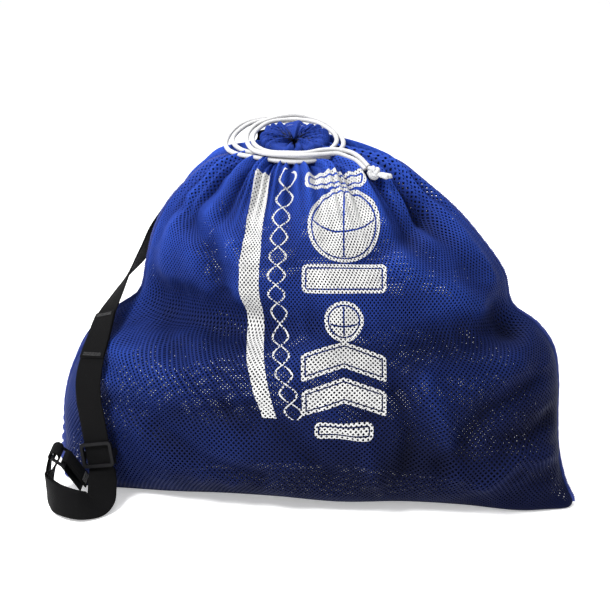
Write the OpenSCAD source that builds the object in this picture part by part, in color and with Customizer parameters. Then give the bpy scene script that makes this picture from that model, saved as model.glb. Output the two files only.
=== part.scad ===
// Drawcord mesh sack with a shoulder strap, standing loaded on a floor.
// Millimetres, +Z up, front towards -Y, origin under the middle of the sack and strap.

/* [Sack] */
// Thickness of the netting wall, with its yarns
wall_t = 1.6; // [1.2:0.2:2]
// Facets across each panel
panel_columns = 30; // [20:2:40]

/* [Mouth] */
// Radius of the gathered mouth, to the middle of the hem casing
mouth_r = 31; // [29:1:33]
// Outer radius of the rolled hem casing
casing_r = 7.5; // [7:0.5:8]
// Half the angle of the gap where the drawcord leaves the casing, in degrees
exit_half_angle = 23; // [22:1:26]

/* [Drawcord] */
// Diameter of the braided drawcord
cord_d = 5; // [4:0.5:5]

/* [Strap] */
// Width of the shoulder strap webbing
webbing_w = 30; // [28:1:30]
// Thickness of the webbing
webbing_t = 1.6; // [1.2:0.2:1.6]

/* [Strap hardware] */
// Outer width of the tri-glide
glide_w = 38; // [38:1:40]
// Outer height of the tri-glide, along the strap
glide_h = 27; // [25:1:28]
// Outer length of the rectangular ring
ring_l = 41; // [40:1:43]
// Outer breadth of the rectangular ring
ring_b = 17; // [16:1:18]
// Diameter of the ring's round bar
ring_d = 3.6; // [3:0.2:4]

/* [Hidden] */
$fn = 48;

blue = "royalblue";
navy = "navy";
black = "#161616";
white = "whitesmoke";

function unit(v) = v / norm(v);
function mix(a, b, t) = a * (1 - t) + b * t;

// ---- The loaded sack: level sections from the floor to the mouth ----
// [height, left x, left y, right x, right y, front depth, back depth, bow, roundness]
// The bow moves the middle of a section back from the line between its two side seams.
sections = [
    [0,   -252, -30, 276, -92,  90,  70, 75, 1.7],
    [6,   -262, -24, 279, -90, 104,  90, 66, 1.7],
    [20,  -268, -10, 272, -72, 116, 110, 44, 1.8],
    [45,  -268,   6, 268, -48, 124, 122, 20, 2.0],
    [80,  -269,  20, 268, -34, 128, 128,  6, 2.1],
    [120, -260,  27, 267, -30, 127, 126,  0, 2.2],
    [155, -242,  28, 260, -28, 118, 112,  0, 2.2],
    [180, -214,  28, 242, -26, 107, 103,  0, 2.2],
    [200, -184,  28, 216, -22, 100,  97,  0, 2.2],
    [235, -174,  26, 206, -16,  99,  94,  0, 2.2],
    [270, -164,  26, 180,  -8,  92,  86,  0, 2.2],
    [300, -148,  28, 152,   4,  80,  74,  0, 2.1],
    [328, -122,  30, 118,  14,  68,  60,  0, 2.1],
    [346,  -98,  32,  90,  22,  60,  52,  0, 2.1]
];
// Under the sack the panels run in to the bottom seam: [share of depth, step in from the tips]
floor_rows = [[0, 8], [0.15, 6], [0.35, 4], [0.7, 2]];
seam_lift = 2.6;      // rise of the fabric over the flat bottom seam
mouth = [-14, 28, 367];      // middle of the hem casing
mouth_tilt = 14;             // the mouth leans to the front by this angle

// A point given in the mouth's own leaning frame.
function at_mouth(p) =
    let (c = cos(mouth_tilt), s = sin(mouth_tilt))
    mouth + [p[0], p[1] * c - p[2] * s, p[1] * s + p[2] * c];

function tent(across) = seam_lift * (1 - pow(abs(across), 8));

// One point of a section. across runs from -1 at the left seam to 1 at the right one.
function section_point(s, across, depth, share, step_in, rise, inset) =
    let (
        left = [s[1] + step_in + inset, s[2]],
        right = [s[3] - step_in - inset, s[4]],
        along = mix(left, right, (across + 1) / 2),
        round_off = pow(1 - pow(abs(across), s[8]), 1 / s[8])
    )
    [along[0], along[1] + s[7] * (1 - across * across) + depth * share * round_off, s[0] + rise];

function columns() = [for (i = [0 : panel_columns]) -cos(180 * i / panel_columns)];

// The rows of one panel, side -1 for the front and 1 for the back.
// inset 0 gives the outside, and wall_t the inside.
function panel_rows(side, inset) = concat(
    [for (r = floor_rows) [for (c = columns())
        let (s = sections[0], depth = side * (side < 0 ? s[5] : s[6]))
        section_point(s, c, depth, r[0], r[1], inset + tent(c) * max(0, 1 - r[0] / 0.35), inset)]],
    [for (s = sections) [for (c = columns())
        let (
            lateral = inset * min(1, s[0] / 6),
            depth = side * ((side < 0 ? s[5] : s[6]) - lateral)
        )
        section_point(s, c, depth, 1, 0, inset * max(0, 1 - s[0] / 12), inset)]],
    [[for (c = columns()) let (r = mouth_r - inset)
        at_mouth([r * c, side * r * sqrt(1 - c * c), -casing_r])]]
);

// Joins closed rings of points into one closed solid; each cap is the ring's own outline.
// The second half of each ring is split along the other diagonal, so that the two faces of a
// twisted band stay parallel.
module loft(rings) {
    n = len(rings[0]);
    last = len(rings) - 1;
    polyhedron(
        points = [for (r = rings) each r],
        faces = concat(
            [for (i = [0 : last - 1], j = [0 : n - 1]) each
                let (k = (j + 1) % n, a = i * n, b = (i + 1) * n)
                j < n / 2
                    ? [[a + j, a + k, b + k], [a + j, b + k, b + j]]
                    : [[a + j, a + k, b + j], [a + k, b + k, b + j]]],
            [[for (j = [n - 1 : -1 : 0]) j]],
            [[for (j = [0 : n - 1]) last * n + j]]
        ),
        convexity = 10
    );
}

// A thin curved shell between two grids of points, with a rim all round.
module shell(outside, inside) {
    rows = len(outside);
    cols = len(outside[0]);
    count = rows * cols;
    function face_pair(a, b, c, d) = [[a, b, c], [a, c, d]];
    polyhedron(
        points = concat([for (r = outside) each r], [for (r = inside) each r]),
        faces = concat(
            [for (i = [0 : rows - 2], j = [0 : cols - 2]) each
                let (a = i * cols + j)
                face_pair(a, a + cols, a + cols + 1, a + 1)],
            [for (i = [0 : rows - 2], j = [0 : cols - 2]) each
                let (a = count + i * cols + j)
                face_pair(a, a + 1, a + cols + 1, a + cols)],
            [for (j = [0 : cols - 2]) each face_pair(j, j + 1, count + j + 1, count + j)],
            [for (j = [0 : cols - 2]) each
                let (a = (rows - 1) * cols + j)
                face_pair(a, count + a, count + a + 1, a + 1)],
            [for (i = [0 : rows - 2]) each
                let (a = i * cols)
                face_pair(a, count + a, count + a + cols, a + cols)],
            [for (i = [0 : rows - 2]) each
                let (a = i * cols + cols - 1)
                face_pair(a, a + cols, count + a + cols, count + a)]
        ),
        convexity = 10
    );
}

module panel(side) {
    outside = panel_rows(side, 0);
    inside = panel_rows(side, wall_t);
    if (side < 0) shell(outside, inside);
    else mirror_faces(outside, inside);
}

// The back panel is wound the other way round, so its columns run in reverse.
module mirror_faces(outside, inside) {
    function reversed(r) = [for (i = [len(r) - 1 : -1 : 0]) r[i]];
    shell([for (r = outside) reversed(r)], [for (r = inside) reversed(r)]);
}

// ---- Round tubes along a route of points ----
function tangent(p, i) = unit(p[min(i + 1, len(p) - 1)] - p[max(i - 1, 0)]);

// A sideways direction that stays square to the route without twisting.
function carried(p, i, side) =
    i == 0 ? unit(side - (side * tangent(p, 0)) * tangent(p, 0))
    : let (before = carried(p, i - 1, side), t = tangent(p, i)) unit(before - (before * t) * t);

function tube_rings(p, r, sides, side) = [for (i = [0 : len(p) - 1])
    let (t = tangent(p, i), a = carried(p, i, side), b = cross(a, t))
    [for (k = [0 : sides - 1]) let (w = 360 * k / sides) p[i] + r * (cos(w) * a + sin(w) * b)]];

module tube(p, r, sides, side) {
    loft(tube_rings(p, r, sides, side));
}

// ---- Flat webbing along a route of [point, direction it faces] ----
function points_of(route) = [for (r = route) r[0]];

function ribbon_rings(route, w, t, shift) =
    let (p = points_of(route))
    [for (i = [0 : len(route) - 1])
        let (
            along = tangent(p, i),
            across = unit(cross(along, route[i][1])),
            out = cross(across, along),
            base = p[i] + shift * out
        )
        [
            base - across * w / 2 - out * t / 2, base + across * w / 2 - out * t / 2,
            base + across * w / 2 + out * t / 2, base - across * w / 2 + out * t / 2
        ]];

module ribbon(route, w = webbing_w, t = webbing_t, shift = 0) {
    loft(ribbon_rings(route, w, t, shift));
}

// Puts a child at a route point: its X goes across the webbing, its Y along it and its Z outwards.
module on_route(route, i, slide = 0) {
    p = points_of(route);
    along = tangent(p, i);
    across = unit(cross(along, route[i][1]));
    out = cross(across, along);
    base = p[i] + slide * along;
    multmatrix([
        [across[0], along[0], out[0], base[0]],
        [across[1], along[1], out[1], base[1]],
        [across[2], along[2], out[2], base[2]],
        [0, 0, 0, 1]
    ]) children();
}

// ---- Strap route: from the hem, behind the upper bulge, down the left flank to the tri-glide ----
strap_down = [
    [[-60, 67, 355], [-0.4, 0.45, 0.8]],
    [[-82, 74, 345], [-0.44, 0.6, 0.68]],
    [[-105, 80, 328], [-0.45, 0.7, 0.55]],
    [[-128, 84, 304], [-0.5, 0.75, 0.42]],
    [[-152, 78, 278], [-0.66, 0.68, 0.32]],
    [[-170, 64, 257], [-0.82, 0.5, 0.28]],
    [[-181, 48, 239], [-0.9, 0.32, 0.3]],
    [[-194, 31, 222], [-0.88, 0.06, 0.47]],
    [[-206, 13, 203], [-0.78, -0.25, 0.57]],
    [[-216, -8, 186], [-0.62, -0.5, 0.6]],
    [[-222, -30, 166], [-0.5, -0.7, 0.5]],
    [[-228, -48, 146], [-0.42, -0.82, 0.35]],
    [[-231, -59, 126], [-0.36, -0.92, 0.15]]
];
// The straight stretch that the tri-glide slides on
straight_top = [-230, -66, 106];
straight_foot = [-218, -80, 36];
straight_face = [-0.34, -0.94, 0];
straight_steps = 9;
strap_straight = [for (k = [0 : straight_steps])
    [mix(straight_top, straight_foot, k / straight_steps), straight_face]];
// The loop on the floor, from the foot of the straight stretch round to the ring
loop_outer = [
    [[-217, -85, 27], [-0.1, -0.75, 0.6]],
    [[-216, -93, 19], [0.1, -0.5, 0.8]],
    [[-216, -102, 14], [0.1, -0.4, 0.9]],
    [[-219, -111, 12], [0.2, -0.5, 0.8]],
    [[-226, -120, 14], [0.2, -0.65, 0.7]],
    [[-236, -125, 16], [0.1, -0.8, 0.6]],
    [[-248, -122, 17], [-0.3, -0.85, 0.45]],
    [[-260, -113, 17], [-0.7, -0.65, 0.3]],
    [[-268, -102, 17], [-0.9, -0.35, 0.1]],
    [[-273.5, -91, 17], [-1, -0.2, 0]],
    [[-276, -82, 18.5], [-1, 0, 0]],
    [[-276.5, -74.5, 23], [-1, 0, 0]],
    [[-276, -69.7, 30], [-1, 0, 0.1]],
    [[-275, -68, 38.4], [-1, 0, 0.15]],
    [[-273, -68, 47], [-1, 0, 0.2]]
];
// The return layer keeps behind the strap up to this point of the loop, then turns to the ring.
shared_points = 12;
loop_inner = [
    [[-271.5, -69.7, 30], [-1, 0, 0.1]],
    [[-267, -68, 38.4], [-1, 0, 0.3]],
    [[-262.6, -68, 46], [-1, 0, 0.3]]
];
layer_gap = 3.4;      // between the strap and the return layer behind it, middle to middle

// ---- Ring and tab at the sack's lower left corner ----
ring_mid = [-262, -68, 46];         // middle of the ring
ring_short = unit([0.8, 0, -0.6]);  // from the strap's bar to the tab's bar
bar_step = ring_b - ring_d;
strap_bar = ring_mid - ring_short * bar_step / 2;
tab_bar = ring_mid + ring_short * bar_step / 2;
strap_bend_r = 5.2;   // middle of the webbing round the ring's bar, with slack
tab_bend_r = 3.4;
tab_foot = [-238, -68, 14];

// Places a flat shape drawn across the ring's bars: its X is level, its Y is up, and it runs
// along the bars.
module across_bars(centre, width) {
    translate(centre) rotate([90, 0, 0]) translate([0, 0, -width / 2]) linear_extrude(width) children();
}

// Webbing bent round a bar: an arc from one angle to another, with straight legs of given lengths.
module bend(r, from, to, leg_in, leg_out) {
    steps = 16;
    inner = r - webbing_t / 2;
    outer = r + webbing_t / 2;
    function spot(radius, w, slide) = radius * [cos(w), sin(w)] + slide * [-sin(w), cos(w)];
    polygon(concat(
        [spot(outer, from, -leg_in)],
        [for (k = [0 : steps]) spot(outer, mix(from, to, k / steps), 0)],
        [spot(outer, to, leg_out), spot(inner, to, leg_out)],
        [for (k = [steps : -1 : 0]) spot(inner, mix(from, to, k / steps), 0)],
        [spot(inner, from, -leg_in)]
    ));
}

// ---- Drawcord ----
exit_turn_r = 8;      // bend of each cord from the casing out through the gap
exit_apart = cord_d * 0.55;
exit_side = (exit_turn_r + exit_apart) / mouth_r;
left_cord_route = [
    [-18, 72, 378], [-27, 79, 379], [-39, 79, 380], [-52, 73, 380], [-64, 64, 378], [-74, 53, 373],
    [-80, 42, 367], [-78, 30, 362], [-69, 18, 358], [-55, 7, 357], [-38, -5, 356], [-20, -13, 355],
    [-2, -13, 355], [12, -7, 357], [23, 5, 361], [30, 20, 366], [29, 35, 371], [21, 49, 376],
    [9, 62, 380], [-7, 68, 382], [-23, 68, 382], [-39, 61, 381], [-49, 49, 378.5], [-57, 35, 373],
    [-58, 21, 367], [-52, 6, 363], [-39, -9, 361], [-20, -14, 361], [-2, -14, 361], [14, -9, 363],
    [30, -6, 363], [44, -10, 361], [53, -17, 357], [62, -28, 349.5]
];
right_cord_route = [
    [-11, 75, 379], [-17, 85, 380], [-36, 87, 381], [-54, 80, 381], [-70, 70, 378], [-81, 57, 372],
    [-87, 44, 364], [-86, 30, 358], [-77, 16, 355], [-62, 4, 354], [-44, -9, 354], [-24, -19, 353],
    [-3, -20, 353], [15, -14, 355], [30, -1, 359], [37, 14, 364], [36, 31, 369], [30, 47, 374],
    [20, 63, 379], [5, 73, 383], [-12, 76, 386], [-28, 74, 385], [-44, 66, 382], [-57, 54, 378],
    [-64, 38, 372], [-64, 21, 366], [-57, 3, 361], [-43, -13, 360], [-22, -20, 360], [-3, -21, 360],
    [14, -17, 360], [31, -13, 360], [42, -17, 357], [50, -22, 354], [58.5, -32.5, 347.2]
];
knot_mid = [67, -36, 345];
knot_r = 6.2;
knot_half = 11;                     // from the knot's middle to each end
knot_axis = unit([5, -3, -1.5]);    // along the knot, towards the cut tips

module front_panel() {
    color(blue) panel(-1);
}

module back_panel() {
    color(blue) panel(1);
}

// A thick thread of overlocking along one side, step -1 for the left and 1 for the right.
module side_seam(tip, step) {
    r = 1.8;
    edge = concat(
        [for (i = [1 : len(sections) - 1]) [sections[i][tip], sections[i][tip + 1], sections[i][0]]],
        [at_mouth([step * mouth_r, 0, -casing_r])]
    );
    route = [for (i = [0 : len(edge) - 1])
        let (t = tangent(edge, i), out = unit(step * [t[2], 0, -t[0]]), p = edge[i] + (r + 0.5) * out)
        [p[0], p[1], max(p[2], r + 0.2)]];
    tube([for (i = [0 : len(route) - 2]) route[i]], r, 8, [0, 1, 0]);
}

module left_side_seam() {
    color(navy) side_seam(1, -1);
}

module right_side_seam() {
    color(navy) side_seam(3, 1);
}

module bottom_seam() {
    seam_w = 6;
    seam_t = 1.5;
    off_floor = 0.1;
    reach = 0.8;      // share of the sack's width that the seam spans
    steps = 16;
    route = [for (k = [0 : steps])
        let (c = reach * (2 * k / steps - 1))
        [section_point(sections[0], c, 0, 0, floor_rows[0][1], off_floor + seam_t / 2, 0), [0, 0, 1]]];
    color(navy) ribbon(route, seam_w, seam_t);
}

module in_mouth_frame() {
    translate(mouth) rotate([mouth_tilt, 0, 0]) children();
}

module hem_casing() {
    channel_r = cord_d / 2 + 0.7;
    color(blue) in_mouth_frame() difference() {
        rotate_extrude() translate([mouth_r, 0]) difference() {
            circle(casing_r);
            circle(channel_r);
        }
        rotate([0, 0, 90 - exit_half_angle]) rotate_extrude(angle = 2 * exit_half_angle)
            translate([mouth_r, -channel_r]) square([casing_r + 1, 2 * channel_r]);
    }
}

// Two rows of thread that close the casing, sunk half into its outer side.
module hem_stitching() {
    thread_r = 0.4;
    color(navy) for (low = [40, 54])
        in_mouth_frame() rotate_extrude()
            translate([mouth_r + casing_r * cos(low), -casing_r * sin(low)]) circle(thread_r);
}

module casing_drawcord() {
    gap = exit_side * 180 / PI;
    color(white) in_mouth_frame() rotate([0, 0, 90 + gap])
        rotate_extrude(angle = 360 - 2 * gap) translate([mouth_r, 0]) circle(cord_d / 2);
}

// The bend of one cord end from the casing's channel out through the gap, side -1 left, 1 right.
function exit_bend(side) =
    let (start = exit_side * 180 / PI, steps = 4)
    [for (k = [0 : steps]) let (w = 90 * k / steps)
        at_mouth([
            side * (exit_apart + exit_turn_r * (1 - sin(w))),
            mouth_r * cos(start) + exit_turn_r * (1 - cos(w)),
            0
        ])];

module cord_end(side, route) {
    color(white) tube(concat(exit_bend(side), route), cord_d / 2, 8, [0, 0, 1]);
}

module cord_end_left() {
    cord_end(-1, left_cord_route);
}

module cord_end_right() {
    cord_end(1, right_cord_route);
}

// The knot is a squat barrel: [share of its half length, share of its radius].
knot_profile = [
    [-1, 0.3], [-0.86, 0.68], [-0.6, 0.92], [-0.25, 1], [0.25, 1], [0.6, 0.92], [0.86, 0.68], [1, 0.3]
];

module cord_knot() {
    sides = 14;
    a = unit(cross(knot_axis, [0, 0, 1]));
    b = cross(a, knot_axis);
    color(white) loft([for (s = knot_profile) [for (k = [0 : sides - 1])
        let (w = 360 * k / sides)
        knot_mid + s[0] * knot_half * knot_axis + s[1] * knot_r * (cos(w) * a + sin(w) * b)]]);
}

// The two cut ends leave the knot side by side, spread apart.
module cord_tips() {
    tip_l = 6;
    heading = -28;
    spread = 24;
    start = 10;       // from the knot's middle to the cut ends' roots
    color(white) translate(knot_mid) for (side = [-1, 1])
        translate((start - (knot_r - 0.5)) * knot_axis) rotate([0, 90, heading + side * spread])
            translate([0, 0, knot_r - 0.5]) cylinder(h = tip_l, d = cord_d);
}

anchor_route = [
    [[-43.5, 55.5, 374], [-0.73, 0.68, 0]],
    [[-44, 56.2, 366], [-0.73, 0.68, 0]],
    [[-49.5, 61, 359], [-0.6, 0.6, 0.5]],
    [[-57.5, 65.5, 356.5], [-0.4, 0.45, 0.8]]
];

module strap_anchor() {
    color(black) ribbon(anchor_route);
}

// A bar tack: short bars of thread across the webbing.
thread_w = 0.8;
thread_h = 0.5;
tack_l = 22;          // length of a bar tack across the webbing
tack_gap = 0.3;       // between the webbing and the thread on it

module bar_tack(rows, length, pitch, lift) {
    for (k = [0 : rows - 1])
        translate([-length / 2, (k - (rows - 1) / 2) * pitch - thread_w / 2, lift])
            cube([length, thread_w, thread_h]);
}

module anchor_stitching() {
    color(navy) on_route(anchor_route, 0, 4) bar_tack(2, tack_l, 2.4, webbing_t / 2 + tack_gap);
}

module shoulder_strap() {
    color(black) ribbon(concat(strap_down, strap_straight, loop_outer));
}

// A short second layer of webbing sewn over the strap where its two lengths are joined.
splice_first = 9;     // points of the strap's route between which the layers overlap
splice_last = 11;
splice_gap = 0.05;

module strap_splice() {
    color(black) ribbon(
        [for (i = [splice_first : splice_last]) strap_down[i]], webbing_w, webbing_t, webbing_t + splice_gap
    );
}

module splice_stitching() {
    inset = 3;
    color(navy) for (end = [[splice_first, inset], [splice_last, -inset]])
        on_route(strap_down, end[0], end[1]) bar_tack(2, tack_l, 2, 1.5 * webbing_t + tack_gap);
}

// A route moved square off its webbing by a distance.
function moved_off(route, by) =
    let (p = points_of(route))
    [for (i = [0 : len(route) - 1])
        let (along = tangent(p, i), across = unit(cross(along, route[i][1])))
        [p[i] + by * cross(across, along), route[i][1]]];

module strap_return() {
    whole = concat(strap_straight, loop_outer);
    behind = moved_off(whole, -layer_gap);
    shared = [for (i = [straight_steps : straight_steps + shared_points]) behind[i]];
    leg_in = 3;
    leg_out = 1;
    color(black) ribbon(concat(shared, loop_inner));
    color(black) across_bars(strap_bar, webbing_w) bend(strap_bend_r, 10, 196, leg_in, leg_out);
}

// ---- Tri-glide, drawn with X across the strap, Y down it and Z outwards ----
glide_place = 7;      // step of the straight stretch under the tri-glide
front_gap = 0.6;      // between the webbing and the frame in front of it
plate_t = 3;
rim_w = 3.5;          // breadth of the frame above and below its window
corner_r = 4.5;       // outer corners of the frame
window_r = 2;         // inner corners of the frame
cheek_w = 3.2;        // the cheeks carry the rear bar on both sides of the webbing
cheek_h = 8;
cheek_over = 0.6;     // the cheeks run past the bar by this much
bar_r = 1.7;
fold_slack = 0.3;     // between the bar and the webbing folded round it
back_gap = 0.5;       // between the strap and the fold behind it
fold_r = bar_r + fold_slack + webbing_t / 2;
bar_z = -(webbing_t / 2 + back_gap + fold_r + webbing_t / 2);

module rounded_box_2d(w, h, r) {
    square([w - 2 * r, h], center = true);
    square([w, h - 2 * r], center = true);
    for (x = [-1, 1], y = [-1, 1]) translate([x * (w / 2 - r), y * (h / 2 - r)]) circle(r);
}

module tri_glide() {
    front = webbing_t / 2 + front_gap;
    window_w = webbing_w + 1.2;
    window_h = glide_h - 2 * rim_w;
    color(black) on_route(strap_straight, glide_place) {
        translate([0, 0, front]) linear_extrude(plate_t) difference() {
            rounded_box_2d(glide_w, glide_h, corner_r);
            rounded_box_2d(window_w, window_h, window_r);
        }
        cheek_foot = bar_z - bar_r - cheek_over;
        for (side = [-1, 1])
            translate([side * (window_w + cheek_w) / 2 - cheek_w / 2, -cheek_h / 2, cheek_foot])
                cube([cheek_w, cheek_h, front + plate_t / 2 - cheek_foot]);
        translate([-glide_w / 2 + 1, 0, bar_z]) rotate([0, 90, 0]) cylinder(h = glide_w - 2, r = bar_r);
    }
}

module strap_end_fold() {
    leg = 13;         // each side of the fold runs this far past the bar
    color(black) on_route(strap_straight, glide_place) translate([-webbing_w / 2, 0, bar_z])
        rotate([90, 0, 90]) linear_extrude(webbing_w) bend(fold_r, 90, 270, leg, leg);
}

module fold_stitching() {
    from_bar = 8.5;
    length = 24;
    color(navy) on_route(strap_straight, glide_place) translate([0, from_bar, bar_z])
        mirror([0, 0, 1]) bar_tack(3, length, 2.4, fold_r + webbing_t / 2);
}

module corner_ring() {
    color(black) translate(ring_mid) rotate([0, asin(-ring_short[2]), 0]) {
        long_half = (ring_l - ring_d) / 2;
        short_half = bar_step / 2;
        for (side = [-1, 1]) {
            translate([side * short_half, -long_half, 0]) rotate([-90, 0, 0])
                cylinder(h = 2 * long_half, d = ring_d);
            translate([-short_half, side * long_half, 0]) rotate([0, 90, 0])
                cylinder(h = 2 * short_half, d = ring_d);
        }
        for (x = [-1, 1], y = [-1, 1]) translate([x * short_half, y * long_half, 0]) sphere(d = ring_d);
    }
}

// The tab's foot lies towards the sack's corner: its legs leave the ring's bar that way.
tab_run = tab_foot - tab_bar;
tab_turn = atan2(tab_run[2], tab_run[0]);
tab_length = norm([tab_run[0], tab_run[2]]);

module ring_tab() {
    color(black) across_bars(tab_bar, webbing_w)
        rotate(tab_turn) bend(tab_bend_r, 90, 270, tab_length, tab_length);
}

module tab_stitching() {
    from_end = 3;
    pitch = 2.2;
    color(navy) across_bars(tab_bar, tack_l)
        rotate(tab_turn) for (k = [0 : 2])
            translate([tab_length - from_end - pitch * k, tab_bend_r + webbing_t / 2])
                square([thread_w, thread_h]);
}

front_panel();
back_panel();
left_side_seam();
right_side_seam();
bottom_seam();
hem_casing();
hem_stitching();
casing_drawcord();
cord_end_left();
cord_end_right();
cord_knot();
cord_tips();
strap_anchor();
anchor_stitching();
shoulder_strap();
strap_splice();
splice_stitching();
strap_return();
tri_glide();
strap_end_fold();
fold_stitching();
corner_ring();
ring_tab();
tab_stitching();
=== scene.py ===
"""Looks for the drawcord mesh sack: netting, gathered mouth, cords, webbing strap and studio."""

import math

import bpy
import numpy as np
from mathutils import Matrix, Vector


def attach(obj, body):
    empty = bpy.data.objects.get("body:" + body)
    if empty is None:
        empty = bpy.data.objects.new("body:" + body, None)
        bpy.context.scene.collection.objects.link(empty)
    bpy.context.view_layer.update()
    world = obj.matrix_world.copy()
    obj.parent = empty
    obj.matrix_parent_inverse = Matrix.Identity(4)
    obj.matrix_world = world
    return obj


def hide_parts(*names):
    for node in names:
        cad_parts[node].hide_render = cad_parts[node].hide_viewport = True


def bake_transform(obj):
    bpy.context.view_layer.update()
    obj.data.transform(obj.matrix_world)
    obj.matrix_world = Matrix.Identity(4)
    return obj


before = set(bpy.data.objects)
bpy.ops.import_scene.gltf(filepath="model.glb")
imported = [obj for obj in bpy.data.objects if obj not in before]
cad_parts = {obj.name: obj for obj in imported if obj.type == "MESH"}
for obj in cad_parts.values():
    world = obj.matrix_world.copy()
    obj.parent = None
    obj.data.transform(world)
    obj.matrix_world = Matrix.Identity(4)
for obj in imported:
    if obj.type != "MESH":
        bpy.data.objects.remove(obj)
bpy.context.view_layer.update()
RNG = np.random.default_rng(11)

# ---- Measures of the sack, in metres ----
CAMERA_TARGET = Vector((-0.003, 0.028, 0.184))
CAMERA_DISTANCE = 1.5
CAMERA_ELEVATION = math.radians(17)
CAMERA_LENS = 80.5

MOUTH = np.array((-0.014, 0.028, 0.367))
MOUTH_TILT = math.radians(14)
MOUTH_R = 0.031
CASING_R = 0.0075
EXIT_HALF_ANGLE = math.radians(23)
EXIT_TURN_R = 0.008
EXIT_APART = 0.00275
CORD_D = 0.005
WEBBING_W = 0.030
WEBBING_T = 0.0016

# Level sections from the floor up:
# height, left x, left y, right x, right y, front depth, back depth, bow, roundness
SECTIONS = (
    (0, -0.252, -0.03, 0.276, -0.092, 0.09, 0.07, 0.075, 1.7),
    (0.006, -0.262, -0.024, 0.279, -0.09, 0.104, 0.09, 0.066, 1.7),
    (0.02, -0.268, -0.01, 0.272, -0.072, 0.116, 0.11, 0.044, 1.8),
    (0.045, -0.268, 0.006, 0.268, -0.048, 0.124, 0.122, 0.02, 2.0),
    (0.08, -0.269, 0.02, 0.268, -0.034, 0.128, 0.128, 0.006, 2.1),
    (0.12, -0.26, 0.027, 0.267, -0.03, 0.127, 0.126, 0, 2.2),
    (0.155, -0.242, 0.028, 0.26, -0.028, 0.118, 0.112, 0, 2.2),
    (0.18, -0.214, 0.028, 0.242, -0.026, 0.107, 0.103, 0, 2.2),
    (0.2, -0.184, 0.028, 0.216, -0.022, 0.1, 0.097, 0, 2.2),
    (0.235, -0.174, 0.026, 0.206, -0.016, 0.099, 0.094, 0, 2.2),
    (0.27, -0.164, 0.026, 0.18, -0.008, 0.092, 0.086, 0, 2.2),
    (0.3, -0.148, 0.028, 0.152, 0.004, 0.08, 0.074, 0, 2.1),
    (0.328, -0.122, 0.03, 0.118, 0.014, 0.068, 0.06, 0, 2.1),
    (0.346, -0.098, 0.032, 0.09, 0.022, 0.06, 0.052, 0, 2.1),
)
FLOOR_ROWS = ((0.0, 0.008), (0.15, 0.006), (0.35, 0.004), (0.7, 0.002))
SEAM_LIFT = 0.0026

LEFT_CORD = [
    (-0.018, 0.072, 0.378), (-0.027, 0.079, 0.379), (-0.039, 0.079, 0.38), (-0.052, 0.073, 0.38),
    (-0.064, 0.064, 0.378), (-0.074, 0.053, 0.373), (-0.08, 0.042, 0.367), (-0.078, 0.03, 0.362),
    (-0.069, 0.018, 0.358), (-0.055, 0.007, 0.357), (-0.038, -0.005, 0.356),
    (-0.02, -0.013, 0.355), (-0.002, -0.013, 0.355), (0.012, -0.007, 0.357), (0.023, 0.005, 0.361),
    (0.03, 0.02, 0.366), (0.029, 0.035, 0.371), (0.021, 0.049, 0.376), (0.009, 0.062, 0.38),
    (-0.007, 0.068, 0.382), (-0.023, 0.068, 0.382), (-0.039, 0.061, 0.381),
    (-0.049, 0.049, 0.3785), (-0.057, 0.035, 0.373), (-0.058, 0.021, 0.367),
    (-0.052, 0.006, 0.363), (-0.039, -0.009, 0.361), (-0.02, -0.014, 0.361),
    (-0.002, -0.014, 0.361), (0.014, -0.009, 0.363), (0.03, -0.006, 0.363), (0.044, -0.01, 0.361),
    (0.053, -0.017, 0.357), (0.062, -0.028, 0.3495),
]
RIGHT_CORD = [
    (-0.011, 0.075, 0.379), (-0.017, 0.085, 0.38), (-0.036, 0.087, 0.381), (-0.054, 0.08, 0.381),
    (-0.07, 0.07, 0.378), (-0.081, 0.057, 0.372), (-0.087, 0.044, 0.364), (-0.086, 0.03, 0.358),
    (-0.077, 0.016, 0.355), (-0.062, 0.004, 0.354), (-0.044, -0.009, 0.354),
    (-0.024, -0.019, 0.353), (-0.003, -0.02, 0.353), (0.015, -0.014, 0.355), (0.03, -0.001, 0.359),
    (0.037, 0.014, 0.364), (0.036, 0.031, 0.369), (0.03, 0.047, 0.374), (0.02, 0.063, 0.379),
    (0.005, 0.073, 0.383), (-0.012, 0.076, 0.386), (-0.028, 0.074, 0.385), (-0.044, 0.066, 0.382),
    (-0.057, 0.054, 0.378), (-0.064, 0.038, 0.372), (-0.064, 0.021, 0.366), (-0.057, 0.003, 0.361),
    (-0.043, -0.013, 0.36), (-0.022, -0.02, 0.36), (-0.003, -0.021, 0.36), (0.014, -0.017, 0.36),
    (0.031, -0.013, 0.36), (0.042, -0.017, 0.357), (0.05, -0.022, 0.354),
    (0.0585, -0.0325, 0.3472),
]
KNOT_MID = np.array((0.067, -0.036, 0.345))

STRAP_DOWN = [
    ((-0.06, 0.067, 0.355), (-0.4, 0.45, 0.8)),
    ((-0.082, 0.074, 0.345), (-0.44, 0.6, 0.68)),
    ((-0.105, 0.08, 0.328), (-0.45, 0.7, 0.55)),
    ((-0.128, 0.084, 0.304), (-0.5, 0.75, 0.42)),
    ((-0.152, 0.078, 0.278), (-0.66, 0.68, 0.32)),
    ((-0.17, 0.064, 0.257), (-0.82, 0.5, 0.28)),
    ((-0.181, 0.048, 0.239), (-0.9, 0.32, 0.3)),
    ((-0.194, 0.031, 0.222), (-0.88, 0.06, 0.47)),
    ((-0.206, 0.013, 0.203), (-0.78, -0.25, 0.57)),
    ((-0.216, -0.008, 0.186), (-0.62, -0.5, 0.6)),
    ((-0.222, -0.03, 0.166), (-0.5, -0.7, 0.5)),
    ((-0.228, -0.048, 0.146), (-0.42, -0.82, 0.35)),
    ((-0.231, -0.059, 0.126), (-0.36, -0.92, 0.15)),
]
STRAIGHT_TOP = np.array((-0.230, -0.066, 0.106))
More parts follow.
